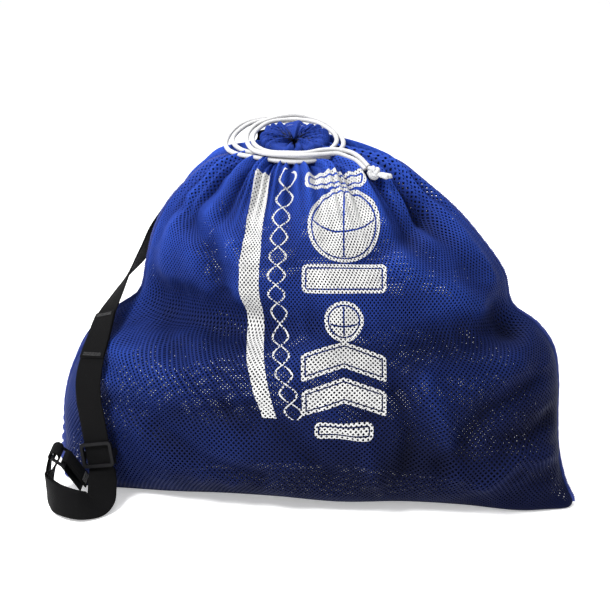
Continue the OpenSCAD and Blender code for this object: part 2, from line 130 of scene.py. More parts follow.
STRAIGHT_FOOT = np.array((-0.218, -0.080, 0.036))
STRAIGHT_FACE = np.array((-0.34, -0.94, 0))
STRAIGHT_STEPS = 9
GLIDE_PLACE = 7
LOOP_OUTER = [
    ((-0.217, -0.085, 0.027), (-0.1, -0.75, 0.6)),
    ((-0.216, -0.093, 0.019), (0.1, -0.5, 0.8)),
    ((-0.216, -0.102, 0.014), (0.1, -0.4, 0.9)),
    ((-0.219, -0.111, 0.012), (0.2, -0.5, 0.8)),
    ((-0.226, -0.12, 0.014), (0.2, -0.65, 0.7)),
    ((-0.236, -0.125, 0.016), (0.1, -0.8, 0.6)),
    ((-0.248, -0.122, 0.017), (-0.3, -0.85, 0.45)),
    ((-0.26, -0.113, 0.017), (-0.7, -0.65, 0.3)),
    ((-0.268, -0.102, 0.017), (-0.9, -0.35, 0.1)),
    ((-0.2735, -0.091, 0.017), (-1, -0.2, 0)),
    ((-0.276, -0.082, 0.0185), (-1, 0, 0)),
    ((-0.2765, -0.0745, 0.023), (-1, 0, 0)),
    ((-0.276, -0.0697, 0.03), (-1, 0, 0.1)),
    ((-0.275, -0.068, 0.0384), (-1, 0, 0.15)),
    ((-0.273, -0.068, 0.047), (-1, 0, 0.2)),
]
LOOP_INNER = [
    ((-0.2715, -0.0697, 0.03), (-1, 0, 0.1)),
    ((-0.267, -0.068, 0.0384), (-1, 0, 0.3)),
    ((-0.2626, -0.068, 0.046), (-1, 0, 0.3)),
]
SHARED_POINTS = 12
LAYER_GAP = 0.0034
ANCHOR = [
    ((-0.0435, 0.0555, 0.374), (-0.73, 0.68, 0)),
    ((-0.044, 0.0562, 0.366), (-0.73, 0.68, 0)),
    ((-0.0495, 0.061, 0.359), (-0.6, 0.6, 0.5)),
    ((-0.0575, 0.0655, 0.3565), (-0.4, 0.45, 0.8)),
]


# ---- Small geometry helpers ----
def unit(v):
    v = np.asarray(v, float)
    return v / np.maximum(np.linalg.norm(v, axis=-1, keepdims=True), 1e-12)


def smoothstep(x, low, high):
    t = np.clip((x - low) / (high - low), 0, 1)
    return t * t * (3 - 2 * t)


def at_mouth(p):
    """Points given in the mouth's own leaning frame."""
    p = np.asarray(p, float)
    c, s = math.cos(MOUTH_TILT), math.sin(MOUTH_TILT)
    return MOUTH + np.stack([p[..., 0], p[..., 1] * c - p[..., 2] * s, p[..., 1] * s + p[..., 2] * c], -1)


def mouth_circle(angle):
    """Points on the circle that the drawcord makes inside the hem."""
    return at_mouth(np.stack([MOUTH_R * np.cos(angle), MOUTH_R * np.sin(angle), np.zeros_like(angle)], 1))


def catmull(points, at, knots):
    """Smooth curve through points (first axis) at the values at, where knots are the points' own values."""
    points = np.asarray(points, float)
    k = np.clip(np.searchsorted(knots, at, side="right") - 1, 0, len(knots) - 2)
    span = knots[k + 1] - knots[k]
    t = (at - knots[k]) / span
    before, after = np.maximum(k - 1, 0), np.minimum(k + 2, len(knots) - 1)
    shape = (len(at),) + (1,) * (points.ndim - 1)
    slope_in = (points[k + 1] - points[before]) / (knots[k + 1] - knots[before]).reshape(shape)
    slope_out = (points[after] - points[k]) / (knots[after] - knots[k]).reshape(shape)
    t, span = t.reshape(shape), span.reshape(shape)
    return (
        (2 * t**3 - 3 * t**2 + 1) * points[k]
        + (t**3 - 2 * t**2 + t) * span * slope_in
        + (-2 * t**3 + 3 * t**2) * points[k + 1]
        + (t**3 - t**2) * span * slope_out
    )


def run_along(p):
    """Length along a path up to each of its points."""
    return np.concatenate([[0], np.cumsum(np.linalg.norm(np.diff(p, axis=0), axis=1))])


def interp_rows(at, knots, rows):
    """Each column of rows, given at knots, read off at the values at."""
    return np.stack([np.interp(at, knots, rows[:, i]) for i in range(rows.shape[1])], 1)


def smooth_path(points, step):
    """The smooth path through points, with a point about every step metres."""
    points = np.asarray(points, float)
    knots = run_along(points[:, :3])
    fine = catmull(points, np.linspace(0, knots[-1], max(8, int(knots[-1] / step * 4))), knots)
    run = run_along(fine[:, :3])
    count = max(4, round(run[-1] / step))
    even = np.linspace(0, run[-1], count + 1)
    return interp_rows(even, run, fine), run[-1]


def tangents(p):
    return unit(np.gradient(p, axis=0))


def carried_frames(p, side):
    """Two directions square to the path at each point, carried along it without twist."""
    t = tangents(p)
    a = np.zeros_like(p)
    a[0] = unit(side - np.dot(side, t[0]) * t[0])
    for i in range(1, len(p)):
        a[i] = unit(a[i - 1] - np.dot(a[i - 1], t[i]) * t[i])
    return a, np.cross(t, a)


# ---- Meshes ----
def make_mesh(name, verts, faces, material, uv=None, smooth=True):
    """One mesh object from arrays; faces is a list of arrays of 3- or 4-sided faces."""
    mesh = bpy.data.meshes.new(name)
    faces = [np.asarray(f) for f in faces if len(f)]
    loops = np.concatenate([f.ravel() for f in faces])
    totals = np.concatenate([np.full(len(f), f.shape[1]) for f in faces])
    mesh.vertices.add(len(verts))
    mesh.vertices.foreach_set("co", np.asarray(verts, np.float32).ravel())
    mesh.loops.add(len(loops))
    mesh.loops.foreach_set("vertex_index", loops.astype(np.int32))
    mesh.polygons.add(len(totals))
    mesh.polygons.foreach_set("loop_start", (np.cumsum(totals) - totals).astype(np.int32))
    mesh.polygons.foreach_set("loop_total", totals.astype(np.int32))
    mesh.polygons.foreach_set("use_smooth", np.full(len(totals), smooth))
    mesh.update(calc_edges=True)
    if uv is not None:
        layer = mesh.uv_layers.new(name="flat")
        layer.data.foreach_set("uv", np.asarray(uv, np.float32)[loops].ravel())
    mesh.materials.append(material)
    mesh.validate()
    o = bpy.data.objects.new(name, mesh)
    bpy.context.scene.collection.objects.link(o)
    return o


def loft_arrays(rings):
    """Vertices and faces of a closed loft through rings (rings x points x 3)."""
    n, m = rings.shape[:2]
    i, j = np.meshgrid(np.arange(n - 1), np.arange(m), indexing="ij")
    i, j = i.ravel(), j.ravel()
    k = (j + 1) % m
    quads = np.stack([i * m + j, i * m + k, (i + 1) * m + k, (i + 1) * m + j], 1)
    verts = np.concatenate([rings.reshape(-1, 3), rings[:1].mean(1), rings[-1:].mean(1)])
    ring = np.arange(m)
    nxt = (ring + 1) % m
    first = np.stack([np.full(m, n * m), nxt, ring], 1)
    last = np.stack([np.full(m, n * m + 1), (n - 1) * m + ring, (n - 1) * m + nxt], 1)
    return verts, quads, np.concatenate([first, last])


def join_arrays(parts):
    """Joins several (verts, quads, tris) into one set."""
    verts, quads, tris, base = [], [], [], 0
    for v, q, t in parts:
        verts.append(v)
        quads.append(q + base)
        tris.append(t + base)
        base += len(v)
    return np.concatenate(verts), np.concatenate(quads), np.concatenate(tris)


def loft_object(name, ring_sets, material):
    v, q, t = join_arrays([loft_arrays(r) for r in ring_sets])
    return make_mesh(name, v, [q, t], material)


def tube_rings(p, r, sides, side=(0, 0, 1), relief=None):
    """Rings of a tube of radius r (a number or one a point); relief(along, angle) scales it."""
    p = np.asarray(p, float)
    a, b = carried_frames(p, np.asarray(side, float))
    w = np.arange(sides) * 2 * math.pi / sides
    run = run_along(p)
    radius = np.broadcast_to(np.asarray(r, float).reshape(-1, 1), (len(p), sides)).copy()
    if relief is not None:
        radius *= relief(run[:, None], w[None, :])
    turned = np.cos(w)[None, :, None] * a[:, None] + np.sin(w)[None, :, None] * b[:, None]
    return p[:, None] + radius[..., None] * turned


def settle(o, node_name, body):
    """A piece takes the place of its CAD node and rides on a body."""
    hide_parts(node_name)
    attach(o, body)
    return o


# ---- The sack's two panels as smooth grids ----
GRID_ROWS = 300
GRID_COLS = 320
FLAT_WIDTH = 0.64
FLAT_LENGTH = 0.53
LOWEST = 0.0006


def section_row(s, side, across, share=1.0, step_in=0.0, rise=0.0):
    z, xl, yl, xr, yr, front, back, bow, n = s
    depth = side * (front if side < 0 else back) * share
    t = (across + 1) / 2
    x = (xl + step_in) * (1 - t) + (xr - step_in) * t
    y = yl * (1 - t) + yr * t + bow * (1 - across**2) + depth * (1 - np.abs(across) ** n) ** (1 / n)
    return np.stack([x, y, np.full_like(x, z) + rise], 1)


def even_row(row, count):
    run = run_along(row)
    return interp_rows(np.linspace(0, run[-1], count), run, row)


def bare_grid(side):
    """The panel without folds: rows from the bottom seam to the mouth, columns from left to right."""
    across = -np.cos(np.linspace(0, math.pi, 361))
    rows = []
    for share, step_in in FLOOR_ROWS:
        rise = SEAM_LIFT * (1 - np.abs(across) ** 8) * max(0, 1 - share / 0.35)
        rows.append(section_row(SECTIONS[0], side, across, share, step_in, rise))
    rows += [section_row(s, side, across) for s in SECTIONS]
    round_y = side * MOUTH_R * np.sqrt(np.maximum(0, 1 - across**2))
    ring = np.stack([MOUTH_R * across, round_y, np.full_like(across, -CASING_R)], 1)
    rows.append(at_mouth(ring))
    rows = np.array([even_row(r, GRID_COLS + 1) for r in rows])
    knots = np.concatenate([[0], np.cumsum(np.linalg.norm(np.diff(rows, axis=0), axis=2)[:, 40:-40].mean(1))])
    grid = catmull(rows, np.linspace(0, knots[-1], GRID_ROWS + 1), knots)
    grid[..., 2] = np.maximum(grid[..., 2], LOWEST)
    return grid


def grid_normals(grid, side):
    n = np.cross(np.gradient(grid, axis=1), np.gradient(grid, axis=0))
    return unit(n) * (1 if side < 0 else -1)


def wander(shape, cells, rng):
    """Smooth random field from -1 to 1 over a grid, with so many cells each way."""
    coarse = rng.uniform(-1, 1, (cells[0] + 3, cells[1] + 3))
    v = catmull(coarse, np.linspace(1, cells[0] + 1, shape[0]), np.arange(cells[0] + 3.0))
    return catmull(v.T.copy(), np.linspace(1, cells[1] + 1, shape[1]), np.arange(cells[1] + 3.0)).T


def creases(grid, lines):
    """Depth along polylines drawn in the (x, z) plane: each is (points, width, depth)."""
    out = np.zeros(grid.shape[:2])
    q = grid[..., [0, 2]]
    for points, width, depth in lines:
        points = np.asarray(points, float)
        nearest = np.full(out.shape, 1e9)
        for a, b in zip(points[:-1], points[1:]):
            ab = b - a
            t = np.clip(((q - a) @ ab) / (ab @ ab), 0, 1)
            nearest = np.minimum(nearest, np.linalg.norm(q - a - t[..., None] * ab, axis=2))
        out += depth * np.exp(-((nearest / width) ** 2))
    return out


# Hollows and ridges that the load presses into each panel: points (x, z), width, depth outwards
FRONT_CREASES = (
    (((-0.175, 0.214), (-0.120, 0.204), (-0.060, 0.196), (0.000, 0.202)), 0.021, -0.015),
    (((0.215, 0.196), (0.150, 0.190), (0.090, 0.176), (0.040, 0.182)), 0.020, -0.015),
    (((0.090, 0.262), (0.130, 0.240), (0.175, 0.216)), 0.013, 0.009),
    (((-0.130, 0.300), (-0.100, 0.262), (-0.092, 0.226)), 0.011, -0.008),
    (((-0.098, 0.300), (-0.068, 0.260), (-0.070, 0.222)), 0.010, 0.006),
    (((0.120, 0.306), (0.100, 0.284), (0.050, 0.268)), 0.012, -0.006),
    (((-0.210, 0.160), (-0.165, 0.142), (-0.110, 0.150)), 0.014, 0.007),
    (((-0.230, 0.110), (-0.160, 0.098), (-0.090, 0.112)), 0.013, -0.008),
    (((-0.150, 0.176), (-0.110, 0.130), (-0.060, 0.100)), 0.012, -0.006),
    (((0.235, 0.140), (0.180, 0.118), (0.140, 0.060)), 0.013, -0.009),
    (((0.120, 0.150), (0.140, 0.100), (0.150, 0.050)), 0.010, 0.009),
    (((0.090, 0.140), (0.105, 0.100), (0.100, 0.050)), 0.010, -0.007),
    (((0.020, 0.120), (0.060, 0.085), (0.070, 0.040)), 0.011, 0.006),
    (((-0.160, 0.085), (-0.110, 0.055), (-0.050, 0.040)), 0.011, -0.008),
    (((-0.060, 0.120), (-0.010, 0.085), (0.020, 0.040)), 0.010, -0.006),
    (((0.265, 0.050), (0.215, 0.062), (0.180, 0.040)), 0.009, 0.008),
    (((0.255, 0.095), (0.225, 0.080), (0.190, 0.084)), 0.009, -0.007),
)
BACK_CREASES = (
    (((-0.170, 0.215), (-0.080, 0.200), (0.020, 0.205), (0.110, 0.190), (0.205, 0.190)), 0.021, -0.014),
    (((-0.120, 0.290), (-0.050, 0.240), (0.010, 0.250)), 0.011, -0.007),
    (((0.130, 0.290), (0.090, 0.250), (0.060, 0.205)), 0.011, -0.007),
    (((-0.220, 0.120), (-0.120, 0.080), (-0.040, 0.100)), 0.011, 0.008),
    (((0.220, 0.110), (0.130, 0.090), (0.060, 0.040)), 0.011, -0.008),
    (((-0.100, 0.150), (-0.030, 0.110), (0.060, 0.120)), 0.010, 0.008),
)
LUMP_BIG = 0.0085
LUMP_SMALL = 0.0032
CRUMPLE = 0.0014
FOLDS = 10
FOLD_AT_MOUTH = 0.0042
FOLD_BELOW = 0.0036
FRONT_CALM = 0.5
FINE_PLEATS = 31
FINE_PLEAT_DEPTH = 0.0025
TOE_WAVE = 0.006
TOE_IN = 0.004
STRAP_PRESS = (-0.223, 0.142)
PRESS_WIDTH = 0.042
PRESS_DEPTH = 0.006


def folded_grid(grid, side, lines):
    """The panel with the folds, lumps and gathers of a loaded sack, and how far each point stands out."""
    normal = grid_normals(grid, side)
    v = np.linspace(0, 1, GRID_ROWS + 1)[:, None]
    s = np.linspace(0, 1, GRID_COLS + 1)[None, :]
    from_side = np.minimum(s, 1 - s)
    clear = smoothstep(from_side, 0.0, 0.09)
    off_floor = smoothstep(grid[..., 2], 0.004, 0.03)
    shape = grid.shape[:2]
    lumps = LUMP_BIG * wander(shape, (7, 6), RNG) + LUMP_SMALL * wander(shape, (15, 13), RNG)
    crumple = CRUMPLE * (1 - 2 * np.abs(wander(shape, (22, 20), RNG)))
    body = (lumps + crumple + creases(grid, lines)) * clear * off_floor * (1 - smoothstep(v, 0.86, 1.0))
    if side < 0:
        away = np.hypot(grid[..., 0] - STRAP_PRESS[0], grid[..., 2] - STRAP_PRESS[1]) / PRESS_WIDTH
        body = body - PRESS_DEPTH * np.exp(-(away ** 2))
    drift = 0.6 * wander(shape, (5, 9), RNG) * (1 - v)
    wave = np.cos(2 * math.pi * (FOLDS * s + drift) + side * 0.4)
    uneven = 1 + 0.45 * wander(shape, (3, FOLDS * 2), RNG)
    gather = (FOLD_AT_MOUTH * smoothstep(v, 0.78, 1.0) + FOLD_BELOW * smoothstep(v, 0.60, 0.86)) * uneven
    turn = FINE_PLEATS * s + 0.8 * wander(shape, (3, 12), RNG)
    pleats = FINE_PLEAT_DEPTH * np.cos(2 * math.pi * turn) * smoothstep(v, 0.74, 0.90)
    calm = 1 - (FRONT_CALM if side < 0 else 0.0) * smoothstep(from_side, 0.2, 0.42)
    fan = (gather * wave * calm + pleats) * smoothstep(from_side, 0.0, 0.04)
    fan -= 0.002 * smoothstep(v, 0.9, 1.0)
    grid = grid + normal * (body + fan)[..., None]
    grid[..., 2] = np.maximum(grid[..., 2], LOWEST)
    low = (1 - smoothstep(grid[..., 2], 0.002, 0.035)) * smoothstep(v, 0.02, 0.06)
    toe = (TOE_WAVE * wander(shape, (2, 9), RNG) - TOE_IN) * low
    grid[..., 1] += side * toe * clear
    relief = body / 0.012 + (fan + 0.001) / 0.0075
    return grid, np.clip(relief, -1.4, 1.4)[..., None]


def sample(grid, v, s):
    """Values of a grid at the fractions v up and s across."""
    a, b = v * (grid.shape[0] - 1), s * (grid.shape[1] - 1)
    i = np.clip(a.astype(int), 0, grid.shape[0] - 2)
    j = np.clip(b.astype(int), 0, grid.shape[1] - 2)
    a, b = (a - i)[:, None], (b - j)[:, None]
    return (
        grid[i, j] * (1 - a) * (1 - b) + grid[i + 1, j] * a * (1 - b)
        + grid[i, j + 1] * (1 - a) * b + grid[i + 1, j + 1] * a * b
    )


# ---- Netting: diamond cells, each with a hole, as a closed shell ----
NET_T = 0.0010
SIDE_BAND = (0.02, 0.07)
MOUTH_BAND = (0.70, 0.95)
# Open share of a cell in the middle, at the sack's sides, and how much of it is lost towards the mouth
EDGE_HOLE = 0.58
FRONT_HOLE = (0.60, EDGE_HOLE, 0.22)
BACK_HOLE = (0.18, EDGE_HOLE, 0.4)


def net_cells(nx, ny, rows, keep, wrap):
    """Corners and cells of a net of nx by ny half cells, for the cells centred from half row rows[0] up
    to rows[1]. Returns the corners' (s, v), the whole cells' centres and four corners, and the
    triangles that fill the half cells along the edges."""
    first = max(rows[0] - 1, 0)
    j, i = np.meshgrid(np.arange(first, rows[1] + 1), np.arange(nx + 1), indexing="ij")
    even = (i + j) % 2 == 0
    index = np.full(i.shape, -1)
    index[even] = np.arange(even.sum())
    if wrap:
        index[:, -1] = index[:, 0]
    corner_sv = np.stack([i[even] / nx, j[even] / ny], 1)
    mi, mj = i[~even], j[~even]
    own = (mj >= rows[0]) & ((mj < rows[1]) | (rows[1] == ny))
    if wrap:
        own &= mi < nx
    mi, mj = mi[own], mj[own]

    def corner(di, dj):
        a, b = mi + di, mj + dj
        if wrap:
            a = a % nx
        ok = (a >= 0) & (a <= nx) & (b >= first) & (b <= rows[1])
        out = np.full(len(a), -1)
        out[ok] = index[b[ok] - first, a[ok]]
        return out

    cells = np.stack([corner(1, 0), corner(0, 1), corner(-1, 0), corner(0, -1)], 1)
    kept = np.ones(len(cells), bool) if keep is None else keep(mi / nx, mj / ny)
    full = (cells >= 0).all(1) & kept
    half = ((cells >= 0).sum(1) == 3) & kept
    tris = np.array([row[row >= 0] for row in cells[half]]).reshape(-1, 3)
    return corner_sv, np.stack([mi[full] / nx, mj[full] / ny], 1), cells[full], tris


def hole_corners(centre, nx, ny, hole):
    """(s, v) of the four corners of each cell's hole."""
    offsets = np.array([[1 / nx, 0], [0, 1 / ny], [-1 / nx, 0], [0, -1 / ny]])
    from_side = np.minimum(centre[:, 0], 1 - centre[:, 0])
    share = hole[0] + (hole[1] - hole[0]) * (1 - smoothstep(from_side, *SIDE_BAND))
    share *= 1 - hole[2] * smoothstep(centre[:, 1], *MOUTH_BAND)
    return (centre[:, None] + offsets[None] * share[:, None, None]).reshape(-1, 2)


def wall_between(edges, count):
    """Quads that join edges of the outer face to the same edges of the inner face."""
    a, b = edges[:, 0], edges[:, 1]
    return np.stack([a, b, b + count, a + count], 1)


def net_arrays(grid, normal, nx, ny, rows, hole, keep=None, wrap=False):
    """The netting over a grid as a closed shell with a hole in each cell. Returns vertices, quads,
    triangles, each vertex's (s, v) and which faces look inwards."""
    corner_sv, centre, cells, tris = net_cells(nx, ny, rows, keep, wrap)
    sv = np.concatenate([corner_sv, hole_corners(centre, nx, ny, hole)])
    where = sv % 1.0 if wrap else np.clip(sv, 0, 1)
    top = sample(grid, where[:, 1], where[:, 0])
    depth = sample(normal, where[:, 1], where[:, 0])
    verts = np.concatenate([top, top - unit(depth) * NET_T])
    count = len(sv)
    base = len(corner_sv) + 4 * np.arange(len(cells))
    quads, walls = [], []
    for k in range(4):
        n = (k + 1) % 4
        quads.append(np.stack([cells[:, k], cells[:, n], base + n, base + k], 1))
        walls.append(wall_between(np.stack([base + k, base + n], 1), count))
    flat = np.concatenate(quads)
    edges = [cells[:, [k, (k + 1) % 4]] for k in range(4)] + [tris[:, [k, (k + 1) % 3]] for k in range(3)]
    one_way = set(map(tuple, np.concatenate(edges).tolist()))
    rim = np.array([(b, a) for a, b in one_way if (b, a) not in one_way]).reshape(-1, 2)
    all_quads = np.concatenate([flat, flat[:, ::-1] + count, *walls, wall_between(rim, count)])
    all_tris = np.concatenate([tris, tris[:, ::-1] + count])
    used = np.unique(np.concatenate([all_quads.ravel(), all_tris.ravel()]))
    new = np.full(len(verts), -1)
    new[used] = np.arange(len(used))
    inside = np.zeros(len(all_quads) + len(all_tris), bool)
    inside[len(flat) : 2 * len(flat)] = True
    inside[len(all_quads) + len(tris) :] = True
    return verts[used], new[all_quads], new[all_tris], np.concatenate([sv, sv])[used], inside


PRINT_MID = (0.028, 0.184)
PRINT_LEAN = math.radians(17)


def print_plane(p):
    """Across and up in the plane that the graphic is laid on, which leans back a little."""
    back, up = p[:, 1] - PRINT_MID[0], p[:, 2] - PRINT_MID[1]
    return np.stack([p[:, 0], back * math.sin(PRINT_LEAN) + up * math.cos(PRINT_LEAN)], 1)


def net_object(name, grid, side, nx, ny, rows, material, hole, keep=None, wrap=False, bare=None, relief=None):
    normal = grid_normals(grid, side)
    verts, quads, tris, sv, inside = net_arrays(grid, normal, nx, ny, rows, hole, keep, wrap)
    if side > 0:
        quads, tris = quads[:, ::-1], tris[:, ::-1]
    if bare is None:
        uv = sv * np.array((FLAT_WIDTH, FLAT_LENGTH))
    else:
        uv = print_plane(sample(bare, np.clip(sv[:, 1], 0, 1), np.clip(sv[:, 0], 0, 1)))
    o = make_mesh(name, verts, [quads, tris], material, uv=uv)
    if relief is not None:
        # Each point's depth is kept for the painted crease shade and highlight of the netting material.
        depth = o.data.attributes.new("relief", "FLOAT", "POINT")
        at = np.clip(sv, 0, 1)
        depth.data.foreach_set("value", sample(relief, at[:, 1], at[:, 0])[:, 0].astype(np.float32))
    # Faces that look inwards take the near-black painted-shade material.
    o.data.materials.append(NET_INSIDE_PAINTED_SHADE)
    o.data.polygons.foreach_set("material_index", inside.astype(np.int32))
    return o


# ---- Materials ----
def new_material(name, **values):
    """A material with one shader; values are its constants, with _ for each space in an input's name."""
    m = bpy.data.materials.new(name)
    m.use_nodes = True
    tree = m.node_tree
    tree.nodes.clear()
    out = tree.nodes.new("ShaderNodeOutputMaterial")
    shader = tree.nodes.new("ShaderNodeBsdfPrincipled")
    tree.links.new(shader.outputs[0], out.inputs[0])
    for key, value in values.items():
        shader.inputs[key.replace("_", " ")].default_value = value
    return m, tree, shader


def node(tree, kind, **values):
    """A new node with its own settings and inputs set by name."""
    n = tree.nodes.new(kind)
    for key, value in values.items():
        if hasattr(n, key):
            setattr(n, key, value)
        else:
            n.inputs[key].default_value = value
    return n


def math_node(tree, operation, a, b=None):
    n = tree.nodes.new("ShaderNodeMath")
    n.operation = operation
    for slot, value in enumerate((a, b)):
        if value is None:
            continue
        if isinstance(value, (int, float)):
            n.inputs[slot].default_value = value
        else:
            tree.links.new(value, n.inputs[slot])
    return n.outputs[0]


class Field:
    """A number in a shader, with ordinary arithmetic."""

    def __init__(self, tree, socket):
        self.tree = tree
        self.socket = socket

    def _do(self, operation, other=None):
        other = other.socket if isinstance(other, Field) else other
        return Field(self.tree, math_node(self.tree, operation, self.socket, other))

    def __add__(self, other):
        return self._do("ADD", other)

    def __sub__(self, other):
        return self._do("SUBTRACT", other)

    def __mul__(self, other):
        return self._do("MULTIPLY", other)

    def abs(self):
        return self._do("ABSOLUTE")

    def sin(self):
        return self._do("SINE")

    def root(self):
        return self._do("SQRT")

    def low(self, other):
        return self._do("MINIMUM", other)

    def high(self, other):
        return self._do("MAXIMUM", other)

    def below(self, other):
        return self._do("LESS_THAN", other)


def ball(u, v, at, r):
    x, y = u - at[0], v - at[1]
    return (x * x + y * y).root() - r


def block(u, v, at, half, r):
    """Signed distance to a rounded block."""
    x, y = (u - at[0]).abs() - (half[0] - r), (v - at[1]).abs() - (half[1] - r)
    outside = (x.high(0.0) * x.high(0.0) + y.high(0.0) * y.high(0.0)).root()
    return outside + x.high(y).low(0.0) - r


def inlined(d, edge=0.0042, line=0.0016):
    """White inside the shape, with a thin line of bare fabric a little inside its edge."""
    bare = (d + edge).abs().below(line / 2)
    return d.below(0.0) * (bare * -1.0 + 1.0)


# The graphic, in metres across and up in its own plane
STRIPE = {
    "at": (-0.0603, 0.020), "bow": 1.0, "half_width": 0.0096, "taper": 0.12,
    "middle": 0.010, "half_length": 0.128,
}
ROPE = {"off": 0.0275, "pitch": 0.040, "height": 0.0085, "half_width": 0.0011, "half_length": 0.128}
COLUMN_X = 0.036
COLUMN = (
    ("block", -0.009, 0.1255, (0.030, 0.0080)),
    ("ball", 0.0, 0.0800, 0.0365),
    ("block", 0.0, 0.0265, (0.043, 0.0150)),
    ("ball", 0.0, -0.0160, 0.0200),
    ("chevron", 0.0, -0.0560, (0.043, 0.0135)),
    ("chevron", 0.0, -0.0930, (0.043, 0.0135)),
    ("block", 0.0, -0.1290, (0.030, 0.0085)),
)


def netting_print(tree):
    """A plain sports graphic: one long bowed stripe, a rope of two crossing waves beside it, and a
    column of simple shapes."""
    uv = node(tree, "ShaderNodeUVMap", uv_map="flat")
    split = tree.nodes.new("ShaderNodeSeparateXYZ")
    tree.links.new(uv.outputs[0], split.inputs[0])
    u, v = Field(tree, split.outputs[0]), Field(tree, split.outputs[1])
    mid = v - STRIPE["at"][1]
    bowed = u - mid * mid * STRIPE["bow"] - STRIPE["at"][0]
    along = v - STRIPE["middle"]
    half = along * along * -STRIPE["taper"] + STRIPE["half_width"]
    ink = bowed.abs().below(half) * along.abs().below(STRIPE["half_length"])
    wave = (v * (2 * math.pi / ROPE["pitch"])).sin() * ROPE["height"]
    for side in (-1, 1):
        line = (bowed - wave * side - ROPE["off"]).abs().below(ROPE["half_width"])
        ink = ink.high(line * along.abs().below(ROPE["half_length"]))
    for kind, shift, height, size in COLUMN:
        at = (COLUMN_X + shift, height)
        if kind == "ball":
            d = ball(u, v, at, size)
            x = u - at[0]
            seam = (x * x * 12.0 + at[1] - 0.006 - v).abs().below(0.0009)
            seam = seam.high(x.abs().below(0.0009))
            shape = inlined(d) * ((seam * (d + 0.0055).below(0.0)) * -1.0 + 1.0)
        elif kind == "block":
            shape = inlined(block(u, v, at, size, 0.006))
        else:
            shape = inlined(block(u, v + (u - at[0]).abs() * 0.35 - 0.007, at, size, 0.003))
        ink = ink.high(shape)
    return ink


def noise(tree, scale, detail=2.0):
    c = tree.nodes.new("ShaderNodeTexCoord")
    n = node(tree, "ShaderNodeTexNoise", Scale=scale, Detail=detail)
    tree.links.new(c.outputs["Object"], n.inputs["Vector"])
    return n.outputs["Fac"]


def ramp(tree, factor, stops):
    r = tree.nodes.new("ShaderNodeValToRGB")
    r.color_ramp.elements[0].position = stops[0][0]
    r.color_ramp.elements[0].color = (*stops[0][1], 1)
    r.color_ramp.elements[1].position = stops[-1][0]
    r.color_ramp.elements[1].color = (*stops[-1][1], 1)
    for position, colour in stops[1:-1]:
        r.color_ramp.elements.new(position).color = (*colour, 1)
    tree.links.new(factor, r.inputs[0])
    return r.outputs[0]


def bump(tree, shader, height, strength, distance):
    b = node(tree, "ShaderNodeBump", Strength=strength, Distance=distance)
    tree.links.new(height, b.inputs["Height"])
    tree.links.new(b.outputs[0], shader.inputs["Normal"])


# Painted crease light: a factor on the blue that is below 1 in the hollows (painted shade) and above 1 on the
# ridges (painted highlight).
CREASE_SHADE_AND_HIGHLIGHT = ((0.0, (0.42, 0.40, 0.42)), (0.5, (0.92, 0.92, 0.92)), (1.0, (1.6, 1.7, 1.6)))


def mixed(tree, factor, a, b, blend="MIX"):
    """Two colours mixed or multiplied; factor is a number or a socket."""
    n = node(tree, "ShaderNodeMix", data_type="RGBA", blend_type=blend)
    if isinstance(factor, float):
        n.inputs[0].default_value = factor
    else:
        tree.links.new(factor, n.inputs[0])
    tree.links.new(a, n.inputs[6])
    tree.links.new(b, n.inputs[7])
    return n.outputs[2]


def netting_material(name, printed):
    """Blue yarn with painted shade, darker towards the floor, the right and in the hollows, and a painted
    highlight on the ridges; with or without the white graphic.
    """
    m, tree, shader = new_material(
        name, Roughness=0.62, Specular_IOR_Level=0.07, Sheen_Weight=0.02, Sheen_Roughness=0.4,
        Sheen_Tint=(0.25, 0.4, 1, 1),
    )
    coords = tree.nodes.new("ShaderNodeTexCoord")
    split = tree.nodes.new("ShaderNodeSeparateXYZ")
    tree.links.new(coords.outputs["Object"], split.inputs[0])
    height, across = Field(tree, split.outputs[2]), Field(tree, split.outputs[0])
    cloud = Field(tree, noise(tree, 14, 4)) * 0.22
    # Painted shade: the blue darkens towards the floor and towards the right, with random blotches.
    tone = height * 3.0 - across * 0.75 + cloud - 0.20
    painted_shade_blue = ramp(tree, tone.socket, ((0.0, BLUE_PAINTED_DEEP_SHADE), (0.4, BLUE_PAINTED_SHADE), (0.85, BLUE)))
    depth = Field(tree, node(tree, "ShaderNodeAttribute", attribute_name="relief").outputs["Fac"])
    # Painted shade in the hollows and painted highlight on the ridges, from each point's stored depth, mixed
    # with random blotches.
    crease_light = (depth * 0.42 + Field(tree, noise(tree, 26, 3)) * 0.5 + 0.30).socket
    painted_crease_light = ramp(tree, crease_light, CREASE_SHADE_AND_HIGHLIGHT)
    painted_light_blue = mixed(tree, 1.0, painted_shade_blue, painted_crease_light, "MULTIPLY")
    fine = ramp(tree, noise(tree, 900, 2), ((0.3, (0.72, 0.72, 0.74)), (0.7, (1, 1, 1))))
    colour = mixed(tree, 0.55, painted_light_blue, fine, "MULTIPLY")
    if printed:
        ink = netting_print(tree)
        worn = ramp(tree, noise(tree, 60, 3), ((0.3, (0.45, 0.45, 0.45)), (0.7, (0.58, 0.58, 0.57))))
        colour = mixed(tree, ink.socket, colour, worn)
    tree.links.new(colour, shader.inputs["Base Color"])
    bump(tree, shader, noise(tree, 1400, 3), 0.5, 0.0004)
    return m


def thread_material(name, dark, light, rough, scale, sheen=0.2):
    """Yarn or braid: fine grain of two tones with its own relief."""
    m, tree, shader = new_material(name, Roughness=rough, Sheen_Weight=sheen)
    grain = noise(tree, scale, 3)
    tree.links.new(ramp(tree, grain, ((0.3, dark), (0.7, light))), shader.inputs["Base Color"])
    bump(tree, shader, grain, 0.6, 0.0004)
    return m


def woven_wave(tree, direction, vector, **values):
    n = node(tree, "ShaderNodeTexWave", Scale=1.0, **values)
    n.wave_type, n.bands_direction = "BANDS", direction
    tree.links.new(vector, n.inputs["Vector"])
    return n.outputs["Fac"]


